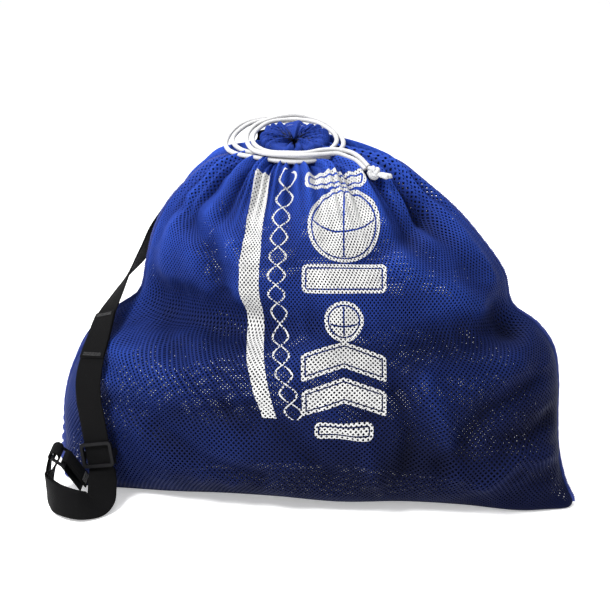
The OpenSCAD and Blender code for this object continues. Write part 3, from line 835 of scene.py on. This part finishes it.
def webbing_material(name):
    """Black woven webbing: ribs across, warp yarns along, and a little lint."""
    m, tree, shader = new_material(name, Roughness=0.7, Specular_IOR_Level=0.05, Sheen_Weight=0.01)
    uv = node(tree, "ShaderNodeUVMap", uv_map="flat")
    stretch = node(tree, "ShaderNodeMapping", Scale=(420, 330, 1))
    tree.links.new(uv.outputs[0], stretch.inputs["Vector"])
    ribs = woven_wave(tree, "Y", stretch.outputs[0], Distortion=0.6, Detail=1.0)
    warp = woven_wave(tree, "X", stretch.outputs[0], Distortion=0.3)
    weave = math_node(tree, "MULTIPLY", ribs, warp)
    shade = ramp(tree, weave, ((0.0, (0.0015, 0.0015, 0.0017)), (1.0, (0.006, 0.006, 0.0065))))
    lint = ramp(tree, noise(tree, 220, 4), ((0.62, (1, 1, 1)), (0.78, (1.9, 1.9, 1.9))))
    tree.links.new(mixed(tree, 1.0, shade, lint, "MULTIPLY"), shader.inputs["Base Color"])
    bump(tree, shader, weave, 0.7, 0.0003)
    return m


def plastic_material(name):
    """Black moulded plastic with a fine grain."""
    m, tree, shader = new_material(name, Specular_IOR_Level=0.1)
    cloud = noise(tree, 35, 3)
    tone = ramp(tree, cloud, ((0.3, (0.003, 0.003, 0.0035)), (0.7, (0.006, 0.006, 0.007))))
    tree.links.new(tone, shader.inputs["Base Color"])
    rough = ramp(tree, noise(tree, 160, 4), ((0.3, (0.3, 0.3, 0.3)), (0.7, (0.46, 0.46, 0.46))))
    tree.links.new(rough, shader.inputs["Roughness"])
    bump(tree, shader, noise(tree, 900, 2), 0.25, 0.0002)
    return m


BLUE = (0.013, 0.037, 0.235)
# Painted shade: the darker blues that the lower and right-hand netting is coloured with.
BLUE_PAINTED_SHADE = (0.006, 0.016, 0.100)
BLUE_PAINTED_DEEP_SHADE = (0.002, 0.004, 0.026)
NET_PRINTED = netting_material("netting_printed", True)
NET_PLAIN = netting_material("netting_plain", False)
# Painted shade: the netting's inward faces are near-black navy, though the yarn is the same blue on both
# sides.
NET_INSIDE_PAINTED_SHADE = thread_material("netting_inside_painted_shade", (0.0008, 0.002, 0.014), (0.0015, 0.004, 0.028), 0.8, 900, 0.0)
BINDING = thread_material("overlock_thread", (0.005, 0.018, 0.15), (0.010, 0.035, 0.26), 0.6, 500, 0.05)
NAVY_THREAD = thread_material("sewing_thread", (0.006, 0.014, 0.10), (0.012, 0.03, 0.2), 0.5, 900)
BLACK_THREAD = thread_material("strap_thread", (0.006, 0.006, 0.007), (0.03, 0.03, 0.032), 0.45, 900)
CORD_WHITE = thread_material("white_braid", (0.38, 0.38, 0.39), (0.56, 0.56, 0.56), 0.6, 1200, 0.05)
WEBBING = webbing_material("black_webbing")
PLASTIC = plastic_material("black_plastic")


# ---- Camera, before anything that could need it ----
def make_camera():
    data = bpy.data.cameras.new("camera")
    data.lens = CAMERA_LENS
    data.sensor_width = 36
    data.clip_end = 20
    cam = bpy.data.objects.new("camera", data)
    back = Vector((0, -math.cos(CAMERA_ELEVATION), math.sin(CAMERA_ELEVATION)))
    cam.location = CAMERA_TARGET + back * CAMERA_DISTANCE
    cam.rotation_mode = "QUATERNION"
    cam.rotation_quaternion = (-back).to_track_quat("-Z", "Y")
    bpy.context.scene.collection.objects.link(cam)
    bpy.context.scene.camera = cam


make_camera()


# ---- Drawcord ----
STRAND_PITCH = 0.009
KNOT_SIZE = 0.0019
KNOT_TILT = np.array([[0.86, -0.5, 0], [0.0, 0.3, 0.95], [0.5, 0.8, -0.25]])
TIPS_TURN = -28
TIPS_SPREAD = 24
FRAY_COUNT = 9
FRAY_R = np.array([0.00035, 0.0003, 0.00022, 0.0001])


def braid(along, angle):
    """Relief of a round braid: two sets of crossing strands."""
    turn = 2 * math.pi * along / STRAND_PITCH
    return 1 + 0.045 * np.cos(6 * angle + turn * 3) * np.cos(6 * angle - turn * 3)


def exit_bend(side):
    """The quarter turn by which a cord end leaves the casing."""
    start = (EXIT_TURN_R + EXIT_APART) / MOUTH_R
    w = np.linspace(0, math.pi / 2, 5)
    return at_mouth(np.stack([
        side * (EXIT_APART + EXIT_TURN_R * (1 - np.sin(w))),
        MOUTH_R * math.cos(start) + EXIT_TURN_R * (1 - np.cos(w)),
        np.zeros_like(w),
    ], 1))


def cord_piece(name, side, route, node_name):
    path, length = smooth_path(np.concatenate([exit_bend(side), np.array(route)]), 0.0011)
    o = loft_object(name, [tube_rings(path, CORD_D / 2 * 0.97, 18, relief=braid)], CORD_WHITE)
    return settle(o, node_name, "sack"), path, length


def knot_paths():
    """Two strands of an overhand knot, one turned against the other."""
    t = np.linspace(0, 2 * math.pi, 140)
    loops = []
    for turn, grow in ((0.0, 1.0), (0.9, 0.86)):
        x, y = np.sin(t) + 2 * np.sin(2 * t), np.cos(t) - 2 * np.cos(2 * t)
        p = np.stack([x, y, -1.35 * np.sin(3 * t)], 1) * KNOT_SIZE * grow
        c, s = math.cos(turn), math.sin(turn)
        p = p @ np.array([[c, -s, 0], [s, c, 0], [0, 0, 1]])
        loops.append(KNOT_MID + p @ KNOT_TILT)
    return loops


def knot_piece():
    rings = [tube_rings(p, CORD_D / 2 * 0.86, 12, relief=braid) for p in knot_paths()]
    o = loft_object("cord_knot_tied", rings, CORD_WHITE)
    return settle(o, "cord_knot", "sack")


def tips_piece():
    """The two cut ends, each a little frayed."""
    rings = []
    for spread, bendy in ((-TIPS_SPREAD, 1), (TIPS_SPREAD, -1)):
        w = math.radians(TIPS_TURN + spread)
        out = np.array((math.cos(w), math.sin(w), -0.12))
        side = np.array((-math.sin(w), math.cos(w), 0.2))
        start = KNOT_MID + np.array((0.0035, -0.002, -0.001))
        path = np.array([
            start,
            start + 0.006 * out,
            start + 0.011 * out + 0.0008 * side * bendy,
            start + 0.0145 * out + 0.002 * side * bendy,
        ])
        path, _ = smooth_path(path, 0.0006)
        swell = np.interp(np.linspace(0, 1, len(path)), [0, 0.7, 0.9, 1], [1, 1, 1.12, 0.85])
        rings.append(tube_rings(path, swell * CORD_D / 2 * 0.93, 14, relief=braid))
        for k in range(FRAY_COUNT):
            a = k * 2 * math.pi / FRAY_COUNT
            off = side * math.cos(a) + unit(np.cross(out, side)) * math.sin(a)
            tip = path[-1] + 0.0017 * off + out * (0.0006 + 0.0004 * (k % 3))
            base = path[-2] + 0.0012 * off
            rings.append(tube_rings(np.linspace(base, tip, len(FRAY_R)), FRAY_R, 5))
    o = loft_object("cord_tips_cut", rings, CORD_WHITE)
    return settle(o, "cord_tips", "sack")


def casing_cord():
    """The length of drawcord inside the hem, open where the two ends leave it."""
    gap = (EXIT_TURN_R + EXIT_APART) / MOUTH_R
    path = mouth_circle(np.linspace(math.pi / 2 + gap, 2.5 * math.pi - gap, 220))
    o = loft_object("casing_cord", [tube_rings(path, CORD_D / 2 * 0.97, 14, relief=braid)], CORD_WHITE)
    settle(o, "casing_drawcord", "sack")


def make_cords():
    knot, tips = knot_piece(), tips_piece()
    left, left_path, left_length = cord_piece("cord_left", -1, LEFT_CORD, "cord_end_left")
    right, right_path, right_length = cord_piece("cord_right", 1, RIGHT_CORD, "cord_end_right")
    casing_cord()


make_cords()


# ---- Panels, each in bands from the floor up ----
NET_COLUMNS = 2 * 122
NET_ROWS = 204
BAND_ROWS = (0, 50, 98, 142, 204)


def make_panels():
    made = {}
    for side, word, lines in ((-1, "front", FRONT_CREASES), (1, "back", BACK_CREASES)):
        bare = bare_grid(side)
        grid, relief = folded_grid(bare, side, lines)
        made[side] = grid
        for k, (low, high) in enumerate(zip(BAND_ROWS[:-1], BAND_ROWS[1:])):
            o = net_object(
                f"{word}_netting_{k + 1}", grid, side, NET_COLUMNS, NET_ROWS, (low, high),
                NET_PRINTED if side < 0 else NET_PLAIN,
                FRONT_HOLE if side < 0 else BACK_HOLE, bare=bare if side < 0 else None, relief=relief,
            )
            settle(o, f"{word}_panel", "sack")
    return made


GRIDS = make_panels()


# ---- Seams ----
SEAM_HALF_WIDTH = 0.0017
SEAM_HALF_T = 0.0011
SCALLOP_PITCH = 0.0105
OVERLOCK_PITCH = 0.0021
OVERLOCK_R = 0.00038
SIDE_SEAM_SPAN = (0.004, 0.352)
SIDE_SEAMS = (("left_overlock", "left_side_seam", 0, -1), ("right_overlock", "right_side_seam", -1, 1))
BOTTOM_HALF_WIDTH = 0.0034
BOTTOM_HALF_T = 0.0009
BOTTOM_HEIGHT = 0.0016
BOTTOM_WAVE = 0.0004
BOTTOM_PITCH = 0.004


def flat_rings(path, out, thick, wide):
    """Rings of a flattened tube: it reaches wide along out and once thick the other way."""
    w = np.arange(12) * 2 * math.pi / 12
    flat = np.cos(w)[None, :, None] * out[:, None] * wide[:, None, None]
    return path[:, None] + flat + np.sin(w)[None, :, None] * thick


def seam_piece(name, node_name, edge, step):
    """A folded seam edge, scalloped by the pull of its overlock thread, most at the left corner."""
    path, length = smooth_path(edge, 0.0012)
    t = tangents(path)
    out = unit(np.stack([step * t[:, 2], np.zeros(len(t)), -step * t[:, 0]], 1))
    thick = np.cross(t, out)
    run = np.linspace(0, length, len(path))
    corner = 1 - smoothstep(path[:, 2], 0.03, 0.08) if step < 0 else 0 * run
    scallop = (0.0002 + 0.0016 * corner) * np.abs(np.sin(math.pi * run / SCALLOP_PITCH))
    wide = SEAM_HALF_WIDTH + scallop + 0.0003 * np.sin(run * 41)
    middle = path + out * (wide * 0.55)[:, None]
    middle[:, 2] = np.maximum(middle[:, 2], 0.0032)
    rings = flat_rings(middle, out, thick[:, None] * SEAM_HALF_T, wide)
    turns = length / OVERLOCK_PITCH
    f = np.linspace(0, 1, int(turns * 10))
    even = np.linspace(0, 1, len(path))
    a = f * turns * 2 * math.pi
    at, out_at, thick_at = [interp_rows(f, even, rows) for rows in (middle, out, thick)]
    wide_at = np.interp(f, even, wide)
    thread = at + unit(out_at) * (np.cos(a) * (wide_at + 0.0003))[:, None]
    thread = thread + unit(thick_at) * (np.sin(a) * 0.0015)[:, None]
    o = loft_object(name, [rings, tube_rings(thread, OVERLOCK_R, 5)], BINDING)
    settle(o, node_name, "sack")


def make_side_seams():
    for name, node_name, column, step in SIDE_SEAMS:
        edge = GRIDS[-1][:, column]
        start, last = [int(np.argmax(edge[:, 2] > height)) for height in SIDE_SEAM_SPAN]
        seam_piece(name, node_name, edge[start:last:4], step)


def make_bottom_seam():
    path = GRIDS[-1][0, 30:-30:4].copy()
    path[:, 2] = BOTTOM_HEIGHT
    path, length = smooth_path(path, 0.002)
    run = np.linspace(0, length, len(path))
    across = unit(np.cross(tangents(path), (0, 0, 1)))
    wide = BOTTOM_HALF_WIDTH + BOTTOM_WAVE * np.sin(run * 2 * math.pi / BOTTOM_PITCH)
    rings = flat_rings(path, across, np.array((0, 0, BOTTOM_HALF_T)), wide)
    settle(loft_object("bottom_overlock", [rings], BINDING), "bottom_seam", "sack")


make_side_seams()
make_bottom_seam()


# ---- Gathered hem ----
HEM_COLUMNS = 2 * 150
HEM_ROWS = 26
HEM_HOLE = (0.42, 0.42, 0.4)
HEM_TUBE_R = 0.0056
HEM_PLEATS = 17
HEM_PLEAT_DEPTH = 0.0009
HEM_RIPPLES = 41
HEM_RIPPLE_DEPTH = 0.0004
HEM_REACH = 0.0120
HEM_PUFF = 0.0065
HEM_LIFT = 0.0014
HEM_STITCH_ROWS = (0.84, 0.92)


def hem_grid():
    """The casing: netting rolled round the cord, its inner side bunched into puffs that close the mouth."""
    s = np.linspace(0, 1, 901)
    r = np.linspace(0, 1, 61)
    angle = 2 * math.pi * s
    warp = angle + 0.16 * np.sin(2 * angle + 0.4) + 0.10 * np.sin(5 * angle + 1.3)
    pleat = np.cos(HEM_PLEATS * warp)
    small = np.cos(HEM_RIPPLES * warp + 1.0)
    big = 1 + 0.5 * np.sin(4 * angle + 0.5) * np.sin(7 * angle)
    puff = 0.5 + 0.5 * np.sin(5 * angle + 0.9 * np.sin(2 * angle) + 0.3)
    tube = HEM_TUBE_R + HEM_PLEAT_DEPTH * pleat * big + HEM_RIPPLE_DEPTH * small
    turn = -2 * math.pi * r[:, None] - 0.5 * math.pi
    inwards = np.maximum(0, -np.cos(turn)) ** 1.5
    reach = inwards * (HEM_REACH + HEM_PUFF * puff + 0.0022 * pleat)[None]
    rho = MOUTH_R + tube[None] * np.cos(turn) - reach
    lift = HEM_LIFT * (1 + np.sin(HEM_PLEATS * warp + 0.8)) * big
    z = tube[None] * np.sin(turn) * 0.92 + lift[None] * (0.5 + 0.5 * np.sin(turn))
    z = z + inwards * (0.0030 * puff - 0.0035 + 0.0020 * small)[None]
    return at_mouth(np.stack([rho * np.cos(angle)[None], rho * np.sin(angle)[None], z], 2))


def make_hem():
    grid = hem_grid()

    def keep(s, v):
        at_exit = np.abs(s * 2 * math.pi - math.pi / 2) < EXIT_HALF_ANGLE
        outwards = np.abs(v - 0.75) < 0.17
        return ~(at_exit & outwards)

    o = net_object("hem_roll", grid, 1, HEM_COLUMNS, HEM_ROWS, (0, HEM_ROWS), NET_PLAIN, HEM_HOLE, keep, True)
    settle(o, "hem_casing", "sack")
    stitches = []
    for v in HEM_STITCH_ROWS:
        s = np.linspace(0, 1, 260)
        p = sample(grid, np.full(len(s), v), s)
        p = p + unit(p - mouth_circle(2 * math.pi * s)) * 0.0004
        for k in range(0, 256, 5):
            stitches.append(tube_rings(p[k : k + 4], 0.0004, 6))
    settle(loft_object("hem_thread", stitches, NAVY_THREAD), "hem_stitching", "sack")


make_hem()


# ---- Webbing ----
def ribbon_arrays(path, face, shift=0.0, lift=None):
    """A webbing band along a path: rounded edges, and (u, v) across and along it in metres."""
    along = tangents(path)
    across = unit(np.cross(along, face))
    out = np.cross(across, along)
    run = run_along(path)
    half, t = WEBBING_W / 2, WEBBING_T / 2
    top = np.linspace(-half + t, half - t, 11)
    edge = np.linspace(-math.pi / 2, math.pi / 2, 5)[1:-1]
    x = np.concatenate([top, half - t + t * np.cos(edge[::-1]), top[::-1], -half + t - t * np.cos(edge)])
    z = np.concatenate([np.full(11, t), t * np.sin(edge[::-1]), np.full(11, -t), t * np.sin(edge)])
    cup = 0.0 if lift is None else lift(run)[:, None] * (1 - (x[None] / half) ** 2)
    rings = path[:, None] + across[:, None] * x[None, :, None]
    rings = rings + out[:, None] * (z[None] + cup + shift)[..., None]
    v, q, tri = loft_arrays(rings)
    uv = np.concatenate([
        np.stack([np.tile(x, len(path)), np.repeat(run, len(x))], 1), [[0, run[0]], [0, run[-1]]],
    ])
    return v, q, tri, uv


def webbing_object(name, ribbons, node_name, body):
    parts = [r[:3] for r in ribbons]
    v, q, t = join_arrays(parts)
    o = make_mesh(name, v, [q, t], WEBBING, uv=np.concatenate([r[3] for r in ribbons]))
    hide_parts(node_name)
    if body:
        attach(o, body)
    return o


def faced(route):
    """A route's points with the way its face looks, as rows of six numbers."""
    return np.array([list(p) + list(f) for p, f in route], float)


def smooth_route(rows, step=0.002):
    path, length = smooth_path(rows, step)
    return path[:, :3], unit(path[:, 3:]), length


def straight_rows():
    t = np.linspace(0, 1, STRAIGHT_STEPS + 1)[:, None]
    p = STRAIGHT_TOP * (1 - t) + STRAIGHT_FOOT * t
    return np.concatenate([p, np.tile(STRAIGHT_FACE, (len(t), 1))], 1)


def moved_off(rows, by):
    """The same route, moved along its own face."""
    p, f = rows[:, :3], rows[:, 3:]
    along = tangents(p)
    across = unit(np.cross(along, f))
    return np.concatenate([p + by * np.cross(across, along), f], 1)


STITCH_R = 0.00032
STITCH_SWING = 0.0007
STITCH_STEP = 0.0009


def satin_row(base, across, along, half, count, side):
    """One row of satin stitches: a thread that swings to and fro on its way across the webbing."""
    x = np.linspace(-half, half, count)
    swing = STITCH_SWING * np.where(np.arange(count) % 2, 1.0, -1.0)
    p = base + across * x[:, None] + along * swing[:, None]
    return tube_rings(p, STITCH_R, 5, side=side)


def bar_tacks(path, face, at, rows, length, pitch, lift):
    """Rows of satin stitches across webbing, centred at a point's index."""
    along = tangents(path)
    across = unit(np.cross(along, face))
    out = np.cross(across, along)
    rings = []
    for k in range(rows):
        base = path[at] + along[at] * (k - (rows - 1) / 2) * pitch + out[at] * lift
        count = int(length / STITCH_STEP)
        rings.append(satin_row(base, across[at], along[at], length / 2, count, out[at]))
    return rings


def thread_object(name, rings, node_name, body):
    settle(loft_object(name, rings, BLACK_THREAD), node_name, body)


def strap_cup(run):
    """How far the strap's middle bulges, along its length."""
    return 0.0004 * np.sin(run * 37)


TACK_LENGTH = 0.022
TACK_LIFT = WEBBING_T / 2 + 0.0003
SPLICE_POINTS = (9, 11)
RETURN_BLEND_POINTS = 8
STRAP_WRAP_R = 0.0052
TAB_WRAP_R = 0.0034


def make_strap():
    down = faced(STRAP_DOWN)
    path, face, _ = smooth_route(np.concatenate([down, straight_rows(), faced(LOOP_OUTER)]))
    webbing_object("strap_webbing", [ribbon_arrays(path, face, lift=strap_cup)], "shoulder_strap", "strap")
    a, b = [int(np.argmin(np.linalg.norm(path - down[k, :3], axis=1))) for k in SPLICE_POINTS]
    splice = ribbon_arrays(path[a:b], face[a:b], shift=WEBBING_T + 0.00005)
    webbing_object("strap_splice_layer", [splice], "strap_splice", "strap")
    rings = []
    for at in (a + 2, b - 3):
        rings += bar_tacks(path, face, at, 2, TACK_LENGTH, 0.002, 1.5 * WEBBING_T + 0.0003)
    thread_object("splice_thread", rings, "splice_stitching", "strap")


def make_return():
    """The return layer behind the strap; its top is a separate piece that rides on no body."""
    outer = np.concatenate([straight_rows(), faced(LOOP_OUTER)])
    behind = moved_off(outer, -LAYER_GAP)[STRAIGHT_STEPS : STRAIGHT_STEPS + SHARED_POINTS + 1]
    path, face, _ = smooth_route(np.concatenate([behind, faced(LOOP_INNER)]))
    round_bar = bar_wrap(ring_bars()[0], STRAP_WRAP_R, 10, 196, 0.003, 0.001)
    cut = RETURN_BLEND_POINTS
    lower = [ribbon_arrays(path[cut:], face[cut:]), round_bar]
    webbing_object("strap_return_layer", lower, "strap_return", "strap")
    upper = [ribbon_arrays(path[: cut + 1], face[: cut + 1])]
    top = webbing_object("strap_return_top", upper, "strap_return", None)
    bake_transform(top)


def make_anchor():
    path, face, _ = smooth_route(faced(ANCHOR), 0.0015)
    webbing_object("strap_anchor_end", [ribbon_arrays(path, face)], "strap_anchor", "sack")
    rings = bar_tacks(path, face, 3, 2, TACK_LENGTH, 0.0024, TACK_LIFT)
    thread_object("anchor_thread", rings, "anchor_stitching", "sack")


RING_MID = np.array((-0.262, -0.068, 0.046))
RING_SHORT = unit(np.array((0.8, 0, -0.6)))
RING_BARS_APART = 0.017 - 0.0036


def ring_bars():
    """Middles of the corner ring's two long bars: the strap's and the tab's."""
    step = RING_SHORT * RING_BARS_APART / 2
    return RING_MID - step, RING_MID + step


def bar_wrap(bar, r, start, end, leg_in, leg_out):
    """Webbing bent round a bar that runs along Y: an arc between two angles with straight legs."""
    w = np.radians(np.linspace(start, end, 30))
    arc = np.stack([np.cos(w), np.zeros_like(w), np.sin(w)], 1) * r
    turn = np.stack([-np.sin(w), np.zeros_like(w), np.cos(w)], 1)
    legs_in = [arc[0] - turn[0] * leg_in * k for k in (1, 0.66, 0.33)]
    legs_out = [arc[-1] + turn[-1] * leg_out * k for k in (0.33, 0.66, 1)]
    path = bar + np.concatenate([legs_in, arc, legs_out])
    face = np.concatenate([np.tile(arc[0], (3, 1)), arc, np.tile(arc[-1], (3, 1))])
    return ribbon_arrays(path, unit(face))


TAB_FOOT = np.array((-0.238, -0.068, 0.014))


def make_tab():
    bar = ring_bars()[1]
    run = TAB_FOOT - bar
    turn = math.degrees(math.atan2(run[2], run[0]))
    length = math.hypot(run[0], run[2])
    wrap = bar_wrap(bar, TAB_WRAP_R, turn + 90, turn + 270, length, length)
    webbing_object("ring_tab_webbing", [wrap], "ring_tab", "strap")
    w = math.radians(turn)
    along = np.array((math.cos(w), 0, math.sin(w)))
    up = np.array((-math.sin(w), 0, math.cos(w)))
    rings = []
    for k in range(3):
        base = bar + along * (length - 0.003 - 0.0022 * k) + up * (TAB_WRAP_R + TACK_LIFT)
        rings.append(satin_row(base, np.array((0, 1, 0)), along, TACK_LENGTH / 2, 25, up))
    thread_object("tab_thread", rings, "tab_stitching", "strap")


END_LEG = 0.013
END_TACK_LENGTH = 0.024


def make_end_fold():
    """The webbing's end, folded round the tri-glide's middle bar and tacked to itself."""
    p = straight_rows()[GLIDE_PLACE, :3]
    along = unit(STRAIGHT_FOOT - STRAIGHT_TOP)
    across = unit(np.cross(along, STRAIGHT_FACE))
    out = np.cross(across, along)
    fold_r = 0.0017 + 0.0003 + WEBBING_T / 2
    bar_z = -(WEBBING_T / 2 + 0.0005 + fold_r + WEBBING_T / 2)
    centre = p + out * bar_z
    w = np.radians(np.linspace(90, 270, 30))
    radial = np.cos(w)[:, None] * along + np.sin(w)[:, None] * out
    arc = centre + fold_r * radial
    steps = np.linspace(1, 0.1, 8)[:, None] * END_LEG * along
    path = np.concatenate([arc[0] + steps, arc, arc[-1] + steps[::-1]])
    face = np.concatenate([np.tile(radial[0], (8, 1)), radial, np.tile(radial[-1], (8, 1))])
    webbing_object("strap_end_loop", [ribbon_arrays(path, face)], "strap_end_fold", "glide")
    rings = []
    for k in (-1, 0, 1):
        base = centre + along * (0.0085 + k * 0.0024) - out * (fold_r + TACK_LIFT)
        rings.append(satin_row(base, across, along, END_TACK_LENGTH / 2, 27, -out))
    thread_object("fold_thread", rings, "fold_stitching", "glide")


make_strap()
make_return()
make_anchor()
make_tab()
make_end_fold()


# ---- Plastic hardware keeps its CAD shape ----
for name in ("tri_glide", "corner_ring"):
    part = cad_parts[name]
    part.data.materials.clear()
    part.data.materials.append(PLASTIC)
    for p in part.data.polygons:
        p.use_smooth = False


# ---- Studio: name, place, size and watts of each lamp ----
LAMPS = (
    ("key", (-1.0, -0.8, 1.6), 0.6, 44),
    ("top", (0.0, 0.5, 2.0), 0.9, 26),
    ("fill", (1.4, -1.2, 0.9), 1.2, 2),
)
FLOOR_GLOW = 0.36
WORLD_LIGHT = 0.66


def make_studio():
    m, tree, shader = new_material(
        "studio_floor", Roughness=0.95, Emission_Color=(1, 1, 1, 1), Emission_Strength=FLOOR_GLOW,
    )
    tone = ramp(tree, noise(tree, 0.6, 1), ((0.3, (0.96, 0.96, 0.96)), (0.7, (0.98, 0.98, 0.98))))
    tree.links.new(tone, shader.inputs["Base Color"])
    verts = [(-6, -6, 0), (6, -6, 0), (6, 8, 0), (-6, 8, 0)]
    floor = make_mesh("floor", np.array(verts, float), [np.array([[0, 1, 2, 3]])], m, smooth=False)
    world = bpy.data.worlds.new("studio")
    world.use_nodes = True
    sky = world.node_tree.nodes["Background"]
    sky.inputs["Color"].default_value = (1, 1, 1, 1)
    sky.inputs["Strength"].default_value = WORLD_LIGHT
    bpy.context.scene.world = world
    for name, place, size, power in LAMPS:
        data = bpy.data.lights.new(name, "AREA")
        data.size = size
        data.energy = power
        lamp = bpy.data.objects.new(name, data)
        lamp.location = place
        lamp.rotation_mode = "QUATERNION"
        lamp.rotation_quaternion = (Vector((0, 0, 0.15)) - Vector(place)).to_track_quat("-Z", "Y")
        bpy.context.scene.collection.objects.link(lamp)
    bpy.context.scene.view_settings.view_transform = "Standard"


make_studio()

bpy.context.view_layer.update()
